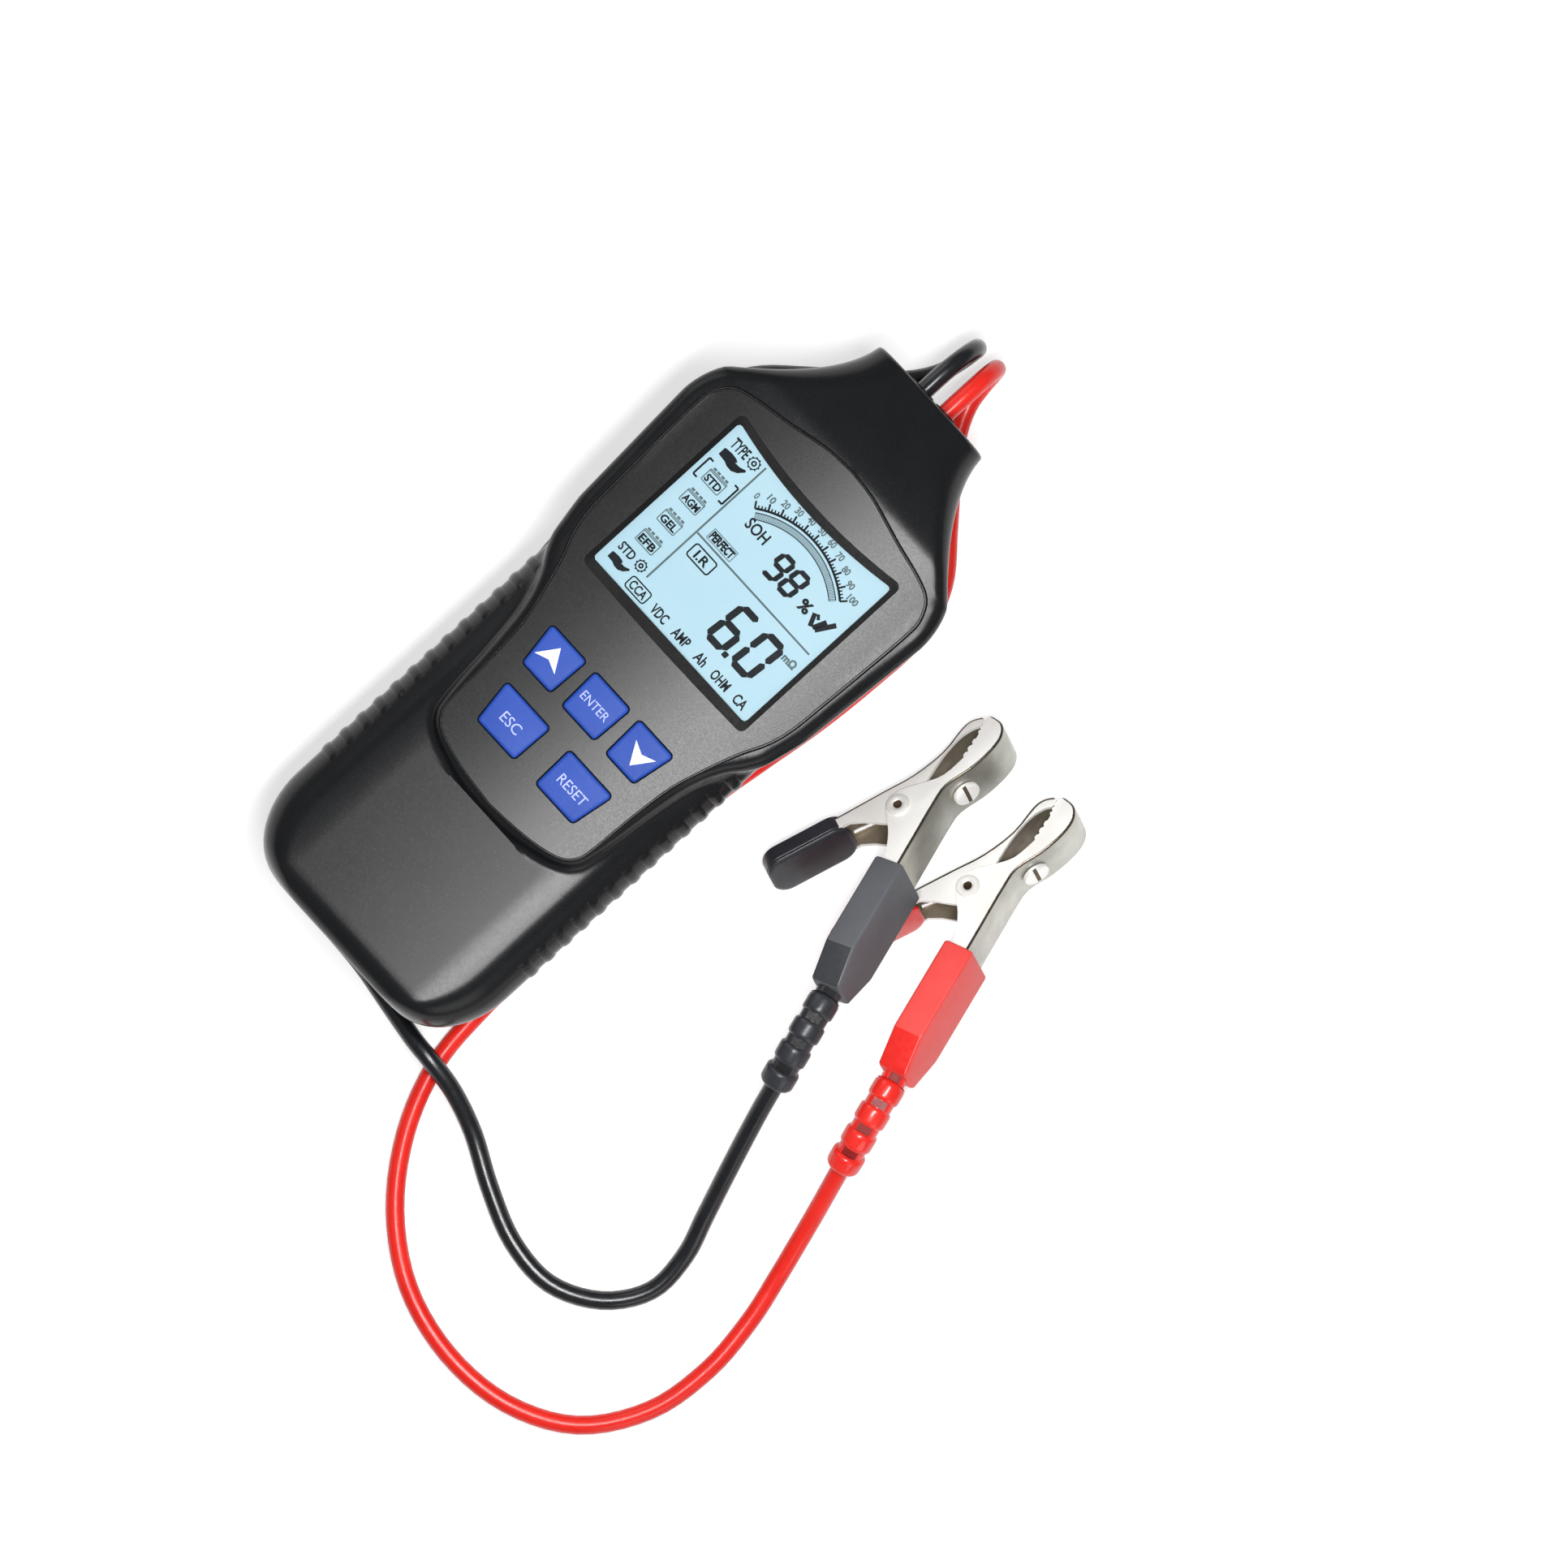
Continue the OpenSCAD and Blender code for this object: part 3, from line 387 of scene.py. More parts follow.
# ---------- camera, floor and light
VIEW_CENTRE, VIEW_WIDTH, VIEW_TURN = (45.3, 9.0), 386.4, 47.6
FACE_HEIGHT = 38.0
LENS, SENSOR = 200.0, 36.0
camera = linked("camera", bpy.data.cameras.new("camera"))
camera.data.lens = LENS
camera.data.sensor_width = SENSOR
camera.data.clip_end = 20.0
camera.location = (
    VIEW_CENTRE[0] * MM, VIEW_CENTRE[1] * MM, (VIEW_WIDTH * LENS / SENSOR + FACE_HEIGHT) * MM)
camera.rotation_euler = (0, 0, math.radians(VIEW_TURN))
scene.camera = camera

FLOOR_REACH, FLOOR_GREYS, FLOOR_GLOW, SKY_GLOW = 4000, (0.55, 0.57), 0.62, 0.22
WHITE = (1, 1, 1, 1)
m, nt, b = new_material("floor_white")
fill(b, {"Roughness": 0.9, "Specular IOR Level": 0.1, "Emission Color": WHITE})
greys = blend_colour(nt, noise(nt, 6.0), *[(grey,) * 3 for grey in FLOOR_GREYS])
nt.links.new(greys, b.inputs["Base Color"])
# The floor glows for the camera and in reflections, and gives no light
rays = nt.nodes.new("ShaderNodeLightPath").outputs
seen = rays["Is Camera Ray"]
for kind in ("Is Glossy Ray", "Is Transmission Ray"):
    either = nt.nodes.new("ShaderNodeMath")
    either.operation = "MAXIMUM"
    nt.links.new(seen, either.inputs[0])
    nt.links.new(rays[kind], either.inputs[1])
    seen = either.outputs[0]
nt.links.new(remap(nt, seen, 0, 1, 0, FLOOR_GLOW), b.inputs["Emission Strength"])
corners = rectangle(-FLOOR_REACH, -FLOOR_REACH, FLOOR_REACH, FLOOR_REACH)
floor = raw_object("floor", level(corners, 0), [(0, 1, 2, 3)], [m])

world = bpy.data.worlds.new("world")
scene.world = world
world.use_nodes = True
fill(world.node_tree.nodes["Background"], {"Color": WHITE, "Strength": SKY_GLOW})


def lamp(name, at, size, power, aim):
    data = bpy.data.lights.new(name, "AREA")
    data.shape = "RECTANGLE"
    data.size, data.size_y = size[0] * MM, size[1] * MM
    data.energy = power
    obj = linked(name, data)
    obj.location = Vector(at) * MM
    obj.visible_camera = False
    obj.rotation_euler = (Vector(aim) - Vector(at)).to_track_quat("-Z", "Y").to_euler()


lamp("lamp_key", (94, 0, 640), (350, 100), 4.1, aim=(0, 0, 38))
lamp("lamp_low", (-950, 260, 520), (500, 800), 1.8, aim=(90, 0, 10))
lamp("lamp_side", (900, -420, 480), (500, 500), 1.3, aim=(60, 0, 10))

scene.view_settings.view_transform = "Standard"

# ---------- the two leads
LEAD_D = 4.8
LEAD_LIE = 2.5  # the height of a lead's axis where it lies down; those points leave it out
# Both leads bend down in front of the nose and run back under the body: x of each, y and z
NOSE_BEND = [
    (-3.3, 4.5, 99.6, 24), (-3.3, 4.5, 107, 24), (-3, 4.5, 112.5, 22.5), (-2.6, 4.6, 116.4, 18.6),
    (-2.4, 4.7, 117.8, 13.2), (-2.6, 4.9, 116.4, 7.9), (-3.2, 5.3, 112.5, 4), (-4.5, 6.5, 107),
    (-8.4, 10, 100.3), (-15.5, 16.4, 92.5), (-26, 26, 82.5), (-35.6, 35.6, 72), (-40.6, 40.6, 59),
    (-40.7, 40.7, 42), (-39.6, 39.6, 25), (-37.4, 37.4, 8), (-35.7, 35.7, -8), (-35.6, 35.6, -36),
    (-35.4, 35.5, -66)]
BLACK_ROUTE = [
    (-34.9, -83), (-29.8, -93.4), (-19, -98.4), (-4, -99), (8, -99.6, 2.6), (20, -101.2, 4.2),
    (30, -102.4, 7.2), (37, -102.8, 7.9), (46.5, -104, 6), (57.5, -107.5, 2.9), (70, -113.5),
    (84, -118.5), (98, -118.8), (110, -112), (116.6, -101, 2.6), (115.8, -89, 4.2),
    (111.6, -78, 8.8), (106.4, -64.6, 17), (101.6, -51.6, 24.9), (98.5, -42.3, 30.7),
    (97.8, -40.2, 31.9)]
RED_ROUTE = [
    (36, -86), (38.4, -103), (46, -120), (58.5, -135), (75, -145.5), (94, -149.5), (113, -147),
    (129, -137.5), (138.5, -121.5), (140.8, -104), (138.8, -88, 2.6), (135.4, -75.5, 3.9),
    (132.6, -66.5, 6.8), (130, -58.5, 11.3), (127.4, -51, 16.5), (125, -44.2, 21.4),
    (124.4, -42.2, 22.8)]
leads = {}
for i, (side, route, material) in enumerate((("black", BLACK_ROUTE, BLACK_LEAD),
                                             ("red", RED_ROUTE, RED_LEAD))):
    route = [(p[i], *p[2:]) for p in NOSE_BEND] + route
    line = catmull([p if len(p) == 3 else (*p, LEAD_LIE) for p in route], 5)
    lead = loft("lead_" + side, tube_rings(line, LEAD_D / 2, 20), [material])
    finish_object(lead, BODY, [side + "_lead"], angle=60)
    leads[side] = (lead, line)


# ---------- outer form of the body
NOSE_Y, END_Y = 100.0, -100.0
SHOULDER_Y, DIP_Y, BROW_Y, WAIST_Y, FLANK_Y, RISE_Y = 68.0, 73.0, 56.5, 19.7, 4.0, 62.0
HEAD_HALF, GRIP_HALF, NOSE_HALF, NOSE_RISE = 43.5, 38.2, 18.8, 10.0
SHOULDER_DRAW, WAIST_DRAW = 2.9, 2.3
HEAD_TOP, GRIP_TOP, SPLIT, CROWN = 41.5, 37.0, 24.0, 1.8
# Edge radii: the head's grows by NOSE_MORE, and none takes more than a share of the height
HEAD_EDGE, NOSE_MORE, GRIP_EDGE, LOW_EDGE, EDGE_SHARE = 3.3, 5.7, 9.5, 16, 0.48
TONGUE_TIP, GRIP_FRONT, OUTSIDE = -50.2, 40.0, 50.0
FILLET = 2.2
END_LENGTH, END_DEPTH, TOP_ROUND, LOW_ROUND = 22, 17, 6, 14
GRIP_CROWN, GRIP_FLAT, GRIP_SLOPE = 0.0065, 21, 16
REACH, HALVINGS, BEND_SPAN, BEND_WEIGHT = 80.0, 34, 9, 5.0
TONGUE = np.array([(-49.9, 6), (-49.2, 11), (-48.2, 15), (-46.7, 20), (-44.7, 23.7), (-42.5, 25.6),
                   (-40, 26.6), (-32, 27.8), (-20.6, 28.9), (-9, 30.6), (-1, 33.4), (FLANK_Y, 36.6),
                   (8, 38.7), (13, 39.9), (WAIST_Y, 41.2)])


def ease(t):
    u = np.clip(t, 0, 1)
    return u * u * (3 - 2 * u)


def crown(x):
    """How far the head's top falls towards its sides."""
    return CROWN * (np.minimum(np.abs(x), 40.0) / 38.0) ** 2


def head_side(y):
    y = np.asarray(y, float)
    shoulder = HEAD_HALF - SHOULDER_DRAW
    back = ((NOSE_Y - np.minimum(y, NOSE_Y)) / (NOSE_Y - SHOULDER_Y)) ** 1.7
    flare = NOSE_HALF + (shoulder - NOSE_HALF) * back
    fall = (np.clip(y - BROW_Y, 0, None) / (SHOULDER_Y - BROW_Y)) ** 2
    brow = HEAD_HALF - SHOULDER_DRAW * fall
    cheek = HEAD_HALF - WAIST_DRAW + WAIST_DRAW * (y - WAIST_Y) / (BROW_Y - WAIST_Y)
    tongue = np.interp(y, TONGUE[:, 0], TONGUE[:, 1])
    behind = np.where(y > BROW_Y, brow, np.where(y > WAIST_Y, cheek, tongue))
    return np.where(y > SHOULDER_Y, flare, behind)


def head_top(y):
    t = np.clip((y - DIP_Y) / (NOSE_Y - DIP_Y), 0, 1)
    return HEAD_TOP + (SPLIT + NOSE_RISE - HEAD_TOP) * t ** 1.2


def head_low(y):
    t = np.clip((y - RISE_Y) / (NOSE_Y - RISE_Y), 0, 1)
    under = SPLIT * (1 - ease((y + 2) / (WAIST_Y + 2)))
    return np.where(y > RISE_Y, (SPLIT - NOSE_RISE) * t ** 1.5, under)


def end_round(y, full, length, depth):
    """A measure of the grip that draws in by depth over its last length millimetres."""
    t = np.clip((END_Y + length - y) / length, 0, 1)
    return full - depth + depth * np.sqrt(1 - t * t)


# Plan of the head and tongue as a grid of signed distances, negative inside
PLAN_STEP = 0.5
half_plan = [(head_side(y), y) for y in np.arange(130.0, WAIST_Y, -1.5)]
half_plan += [tuple(p) for p in catmull(TONGUE[::-1, ::-1], 4)] + [(0.0, -50.0)]
plan_x = np.arange(0, 60, PLAN_STEP)
plan_y = np.arange(-60, 112, PLAN_STEP)


def polygon_distance(px, py, outline):
    inside = np.zeros(px.shape, bool)
    best = np.full(px.shape, 1e9)
    for (ax, ay), (bx, by) in zip(outline, np.roll(outline, -1, 0)):
        ex, ey = bx - ax, by - ay
        t = np.clip(((px - ax) * ex + (py - ay) * ey) / max(ex * ex + ey * ey, 1e-12), 0, 1)
        best = np.minimum(best, np.hypot(px - ax - t * ex, py - ay - t * ey))
        if ey:
            inside ^= ((ay > py) != (by > py)) & (px < ex * (py - ay) / ey + ax)
    return np.where(inside, -best, best)


plan_outline = np.array(half_plan + [(-x, y) for x, y in half_plan[::-1]])
plan_grid = polygon_distance(*np.meshgrid(plan_x, plan_y, indexing="ij"), plan_outline)


def plan_distance(x, y):
    u = np.clip(np.abs(x) / PLAN_STEP, 0, len(plan_x) - 1.001)
    v = np.clip((y - plan_y[0]) / PLAN_STEP, 0, len(plan_y) - 1.001)
    i, j = u.astype(int), v.astype(int)
    fu, fv = u - i, v - j
    near = plan_grid[i, j] * (1 - fu) + plan_grid[i + 1, j] * fu
    far = plan_grid[i, j + 1] * (1 - fu) + plan_grid[i + 1, j + 1] * fu
    return near * (1 - fv) + far * fv


def rounded_distance(side, z, lo, hi, r_lo, r_hi):
    """Distance to a slab from lo to hi with rounded edges; side is that outside its plan."""
    upper = z > (lo + hi) / 2
    r = np.where(upper, r_hi, r_lo)
    up = np.where(upper, z - hi, lo - z) + r
    s = side + r
    return np.hypot(np.maximum(s, 0), np.maximum(up, 0)) + np.minimum(np.maximum(s, up), 0) - r


def body_distance(x, y, z):
    """About the distance to the outer form; a fillet joins the tongue and the grip."""
    edge = HEAD_EDGE + NOSE_MORE * ease((y - SHOULDER_Y) / (NOSE_Y - SHOULDER_Y))
    side = np.where(z > SPLIT, plan_distance(x, y), np.abs(x) - head_side(y))
    lo, hi = head_low(y), head_top(y) - crown(x)
    head = rounded_distance(side, z, lo, hi, np.minimum(LOW_EDGE, (hi - lo) * EDGE_SHARE), edge)
    head = np.where(y < TONGUE_TIP, OUTSIDE, head)
    lo = -end_round(y, 0, LOW_ROUND, LOW_ROUND)
    fall = GRIP_CROWN * np.clip(np.abs(x) - GRIP_FLAT, 0, GRIP_SLOPE) ** 2
    hi = end_round(y, GRIP_TOP, TOP_ROUND, TOP_ROUND) - fall
    w = end_round(y, GRIP_HALF, END_LENGTH, END_DEPTH)
    most = np.minimum((hi - lo) * EDGE_SHARE, w * 0.9)
    grip = rounded_distance(
        np.abs(x) - w, z, lo, hi, np.minimum(LOW_EDGE, most), np.minimum(GRIP_EDGE, most))
    grip = np.where(y > GRIP_FRONT, OUTSIDE, grip)
    k = np.maximum(FILLET * ease((z - 27) / 5) * ease((8 - y) / 10), 1e-6)
    h = np.maximum(k - np.abs(head - grip), 0) / k
    return np.minimum(head, grip) - h * h * k / 4


def contours(ys, sign, columns, fine, inset=0.0, ceiling=None):
    """Points from the side at the split height to the centre line, above or below it.

    Rays from the centre of each station find the form by halving; the points kept lie closer
    together where the line bends."""
    theta = np.linspace(0, math.pi / 2, fine) * sign
    y, t = np.meshgrid(ys, theta, indexing="ij")
    lo, hi = np.zeros_like(y), np.full_like(y, REACH)
    for _ in range(HALVINGS):
        r = (lo + hi) / 2
        z = SPLIT + r * np.sin(t)
        d = body_distance(r * np.cos(t), y, z) + inset
        if ceiling is not None:
            d = np.maximum(d, z - ceiling)
        lo, hi = np.where(d < 0, r, lo), np.where(d < 0, hi, r)
    x, z = lo * np.cos(t), SPLIT + lo * np.sin(t)
    out = np.empty((len(ys), columns, 3))
    for i in range(len(ys)):
        dx, dz = np.diff(x[i]), np.diff(z[i])
        heading = np.unwrap(np.arctan2(dz, dx))
        turns = np.diff(heading, append=heading[-1])
        bend = np.abs(np.convolve(turns, np.ones(BEND_SPAN), "same"))
        s = np.concatenate([[0], np.cumsum(np.hypot(dx, dz) + BEND_WEIGHT * bend / BEND_SPAN)])
        at = np.linspace(0, s[-1], columns)
        out[i, :, 0] = np.interp(at, s, x[i])
        out[i, :, 2] = np.interp(at, s, z[i])
        out[i, :, 1] = ys[i]
        out[i, 0] = (x[i, 0], ys[i], SPLIT)
        out[i, -1, 0] = 0.0
    return out


def whole_rings(right, first):
    """Rings from their right half and its mirror image, which starts at column first."""
    left = right[:, first:-1][:, ::-1] * (-1, 1, 1)
    return list(np.concatenate([right, left], axis=1))


def spaced(*pieces):
    return np.unique(np.concatenate([np.linspace(a, b, n) for a, b, n in pieces]))


# Cuts across the form, closest at the grip's end, at the tongue's tip and at the nose
end_bow = END_Y + END_LENGTH * (1 - np.cos(np.linspace(0.0, 1.0, 18) ** 1.15 * math.pi / 2))
middle = spaced(
    (-78, -52, 10), (-51.6, -43, 22), (-43, -36, 8), (-36, -12, 10), (-12, 24, 25), (24, 54, 9),
    (54, 72, 13), (72, NOSE_Y - 1.2, 18))
STATIONS = np.concatenate([end_bow, middle, NOSE_Y - np.array([0.9, 0.5, 0.2, 0.0])])
STATIONS = np.unique(np.round(STATIONS, 4))
NOSE_ROUND = 1.0
JOINT_IN, JOINT_UP = 0.35, 0.3


def half_body(name, sign, columns):
    """One half of the outer form as a closed solid, with a small chamfer along the joint."""
    c = contours(STATIONS, sign, columns, 700)
    for i, y in enumerate(STATIONS):
        lip = max(0.0, y - (NOSE_Y - NOSE_ROUND))
        if lip:
            shrink = 1.0 - math.sqrt(max(0.0, 1.0 - lip * lip))
            c[i, :, 0] *= 1 - shrink / NOSE_HALF
            c[i, :, 2] = SPLIT + (c[i, :, 2] - SPLIT) * (1 - shrink / NOSE_RISE)
    lip = c[:, :1].copy()
    lip[:, 0, 0] -= JOINT_IN
    c[:, 0, 2] = SPLIT + sign * JOINT_UP
    return loft(name, whole_rings(np.concatenate([lip, c], axis=1), 0))


inner_stations = spaced(
    (END_Y + 2.6, -78, 9), (-78, -52, 3), (-52, -40, 7), (-40, 20, 9), (20, 56, 3), (56, 91, 9))
WALL, CEILING = 2.4, HEAD_TOP - 3.6


def hollow_form():
    up = contours(inner_stations, 1, 26, 200, inset=WALL, ceiling=CEILING)
    low = contours(inner_stations, -1, 26, 200, inset=WALL)
    return loft("hollow", whole_rings(np.concatenate([low[:, ::-1][:, :-1], up], axis=1), 1))


PANEL_HALF = [
    (0, 72.8), (7.5, 72.2), (14.9, 70.5), (20.6, 69.1), (29.8, 67.2), (35, 65.1), (37.6, 61),
    (38.2, 56.5), (37.8, 43.8), (37.1, 30), (36.5, 19.7), (35, 12.8), (32.1, 5.9), (29.2, -3.3),
    (26.9, -12.5), (25.8, -24), (25.2, -35.5), (24.3, -40.7), (20.6, -44.2), (11.4, -46.5),
    (0, -47.6)]
panel_right = catmull(PANEL_HALF, 4)
PANEL_OUTLINE = np.concatenate([panel_right, panel_right[1:-1][::-1] * (-1, 1)])
PANEL_TOP, PANEL_BASE, PANEL_CHAMFER, PANEL_GAP = 41.4, 40.2, 0.22, 0.35
WINDOW_HALF, WINDOW_LOW, WINDOW_HIGH, WINDOW_DIP = 27.6, 12.0, 61.0, 2.8
# Centre x and y, half width, and how far the lower corners are drawn in on the left and right
KEYS = {"key_up": (-15.9, -12.45, 6.25, 2.0, 0.5), "key_enter": (0, -12.45, 6.35, 0.5, 0.5),
        "key_down": (15.9, -12.45, 6.25, 0.5, 2.0), "key_esc": (-11.4, -30.15, 7.8, 1.9, 0.4),
        "key_reset": (11.4, -30.15, 7.8, 0.4, 1.9)}
KEY_LENGTH, KEY_ROUND = 11.7, 1.0


def key_outline(key, g):
    """A key's outline, grown by g."""
    x, y, w, draw_left, draw_right = KEYS[key]
    h, w = KEY_LENGTH / 2 + g, w + g
    return rounded([(x - w, y + h), (x + w, y + h), (x + w - draw_right, y - h),
                    (x - w + draw_left, y - h)], KEY_ROUND + g)


SCREWS = [(-35.2, 50), (35.2, 50), (-25.5, -78), (25.5, -78)]
BOSS_R, SCREW_HOLE_R, COUNTERBORE_R, EXIT_R = 3.6, 1.7, 3.05, 3.45
LEAD_X = (-3.3, 4.5)
hollow = hollow_form()
for x, y in SCREWS:
    boolean(hollow, disc("boss", x, y, -5, 50, BOSS_R))

front = half_body("front_shell_skin", 1, 84)
rear = half_body("rear_shell_skin", -1, 56)
boolean(front, hollow, keep=True)
boolean(rear, hollow)
exits = merged(
    "exits",
    [loft("hole", tube_rings([(x, 91.0, SPLIT), (x, 101.0, SPLIT)], EXIT_R, 40)) for x in LEAD_X])
boolean(front, exits, keep=True)
boolean(rear, exits)
# The panel's recess widens at its top and follows the crown there
RECESS_FLOOR, RECESS_BEND, RECESS_TOP, RECESS_FLARE = 38.95, 39.5, HEAD_TOP + 0.02, 0.45
pocket = grow(PANEL_OUTLINE, 0.5)
flared = grow(pocket, RECESS_FLARE)
recess = loft("recess", [level(pocket, RECESS_FLOOR), level(pocket, RECESS_TOP - RECESS_FLARE),
                         level(flared, RECESS_TOP), level(flared, RECESS_TOP + 3.0)])
for v in recess.data.vertices:
    if v.co.z > RECESS_BEND * MM:
        v.co.z -= crown(v.co.x / MM) * MM
boolean(front, recess)
SEAT_FLOOR, HOLE_FLOOR, ABOVE, SCREW_DEPTH, HEAD_DEPTH = 36.5, 34, 44, 26, 5
seat = prism("seat", rectangle(-29.3, 10.3, 29.3, 62.7), SEAT_FLOOR, ABOVE)
key_holes = [prism("key_hole", key_outline(key, PANEL_GAP), HOLE_FLOOR, ABOVE) for key in KEYS]
boolean(front, merged("openings", [seat] + key_holes))
for top, r, sides in ((SCREW_DEPTH, SCREW_HOLE_R, 24), (HEAD_DEPTH, COUNTERBORE_R, 32)):
    boolean(rear, merged("bores", [disc("bore", x, y, -1, top, r, sides) for x, y in SCREWS]))
for shell, node in ((front, "front_shell"), (rear, "rear_shell")):
    cover(shell.data, [CASE])
    finish_object(shell, BODY, [node], angle=38)


# Ribs on both sides of the grip
RIB_COUNT, RIB_PITCH, RIB_HALF, RIB_LIFT, RIB_SINK = 13, 5.7, 1.9, 0.72, 0.25
RIB_LOW, RIB_HIGH, RIB_POINTS, RIB_ROOT = 12, 34.2, 26, 0.6


def rib_rings(side, y0):
    """Rings across one rib: a line along the grip's side, lifted, and one sunk into it."""
    rings = []
    fade = np.sin(np.linspace(0, math.pi, RIB_POINTS)) ** 0.35
    for k in np.linspace(-1, 1, 9):
        y = y0 + RIB_HALF * k
        lift = RIB_LIFT * (1 - k * k) ** 0.7 - RIB_SINK
        above, below = (contours([y], sign, 60, 300)[0] for sign in (1, -1))
        line = np.concatenate([below[::-1], above[1:]])
        line = line[(line[:, 2] > RIB_LOW) & (line[:, 2] < RIB_HIGH)]
        s = np.linspace(0, len(line) - 1, RIB_POINTS)
        p = np.stack([np.interp(s, range(len(line)), line[:, i]) for i in (0, 1, 2)], axis=1)
        t = np.gradient(p[:, [0, 2]], axis=0)
        n = units(np.c_[t[:, 1], 0 * s, -t[:, 0]])
        ring = np.concatenate([p + n * (lift * fade)[:, None], (p - n * RIB_ROOT)[::-1]])
        rings.append(ring * (side, 1, 1))
    return rings


ribs = merged(
    "grip_ribs",
    [loft("rib", rib_rings(side, -RIB_PITCH * k)) for side in (-1, 1) for k in range(RIB_COUNT)])
cover(ribs.data, [CASE])
finish_object(ribs, BODY, angle=50)


# ---------- face panel, window and display
def flat_part(name, outlines, z0, z1, chamfer):
    """A plate with chamfered edges from closed outlines, the first outside and the rest holes."""
    data = bpy.data.curves.new(name, "CURVE")
    data.dimensions = "2D"
    data.fill_mode = "BOTH"
    data.extrude = ((z1 - z0) / 2 - chamfer) * MM
    data.bevel_depth = chamfer * MM
    data.bevel_resolution = 0
    for outline in outlines:
        s = data.splines.new("POLY")
        s.points.add(len(outline) - 1)
        for q, (x, y) in zip(s.points, outline):
            q.co = (x * MM, y * MM, 0, 1)
        s.use_cyclic_u = True
    me = curve_mesh(data)
    me.transform(Matrix.Translation((0, 0, (z0 + z1) / 2 * MM)))
    obj = linked(name, me)
    with Editing(obj) as bm:
        bmesh.ops.remove_doubles(bm, verts=bm.verts, dist=0.002 * MM)
        bmesh.ops.recalc_face_normals(bm, faces=bm.faces)
    return obj


def window_frame(g_side, g_top, g_low, bulge, r):
    """An outline round the window, grown on each side; its lower edge bulges."""
    w = WINDOW_HALF + g_side
    t = np.linspace(-1, 1, 29)
    top = [(w * k, WINDOW_HIGH + g_top - WINDOW_DIP * (1 - k * k)) for k in t]
    low = [(w * k, WINDOW_LOW - g_low - bulge * (1 - k * k)) for k in t[::-1]]
    return rounded(top + low, r, straight=-0.7)


CROWN_CUTS = np.arange(-15, 16) * 2.5


def crowned(obj):
    """Cuts a flat plate along the body and lets it follow the head's crown."""
    with Editing(obj) as bm:
        for x in CROWN_CUTS:
            bmesh.ops.bisect_plane(bm, geom=bm.verts[:] + bm.edges[:] + bm.faces[:],
                                   plane_co=(x * MM, 0, 0), plane_no=(1, 0, 0), dist=1e-7)
        for v in bm.verts:
            v.co.z -= np.interp(v.co.x / MM, CROWN_CUTS, crown(CROWN_CUTS)) * MM


WINDOW_RIM = window_frame(1.5, 2.4, 2.5, 0.5, 1.7)
key_gaps = [key_outline(key, PANEL_GAP) for key in KEYS]
panel = flat_part(
    "face_panel_skin", [PANEL_OUTLINE, WINDOW_RIM] + key_gaps, PANEL_BASE, PANEL_TOP, PANEL_CHAMFER)
crowned(panel)
cover(panel.data, [PANEL])
finish_object(panel, BODY, ["face_panel"], angle=30)


def resample(p, n):
    """A closed outline as n points at even distances."""
    q = np.concatenate([p, p[:1]])
    s = np.concatenate([[0], np.cumsum(np.linalg.norm(np.diff(q, axis=0), axis=1))])
    at = np.linspace(0, s[-1], n, endpoint=False)
    return np.c_[np.interp(at, s, q[:, 0]), np.interp(at, s, q[:, 1])]


# The sloping edge between the panel and the window, painted dark as the shade of its slope
RIM_POINTS, RIM_ROOT, RIM_DROP, GLASS_TOP = 240, 39.6, 0.45, 40.62
outer = resample(grow(WINDOW_RIM, 0.1), RIM_POINTS)
inner = resample(window_frame(0.05, 0.05, 0.05, 0.0, 0.9), RIM_POINTS)
nearest = int(np.argmin(np.linalg.norm(inner - outer[0], axis=1)))
inner = np.roll(inner, -nearest, axis=0)
outer_top = PANEL_TOP - 0.1 - crown(outer[:, 0])
inner_top = np.maximum(PANEL_TOP - RIM_DROP - crown(inner[:, 0]), GLASS_TOP)
rim = np.concatenate([level(outer, RIM_ROOT), np.c_[outer, outer_top], np.c_[inner, inner_top],
                      level(inner, RIM_ROOT)])
edge = raw_object("window_edge_painted_shade", rim, grid_faces(4, RIM_POINTS, close_rows=True), [EDGE])
finish_object(tidy_normals(edge), BODY, angle=30)


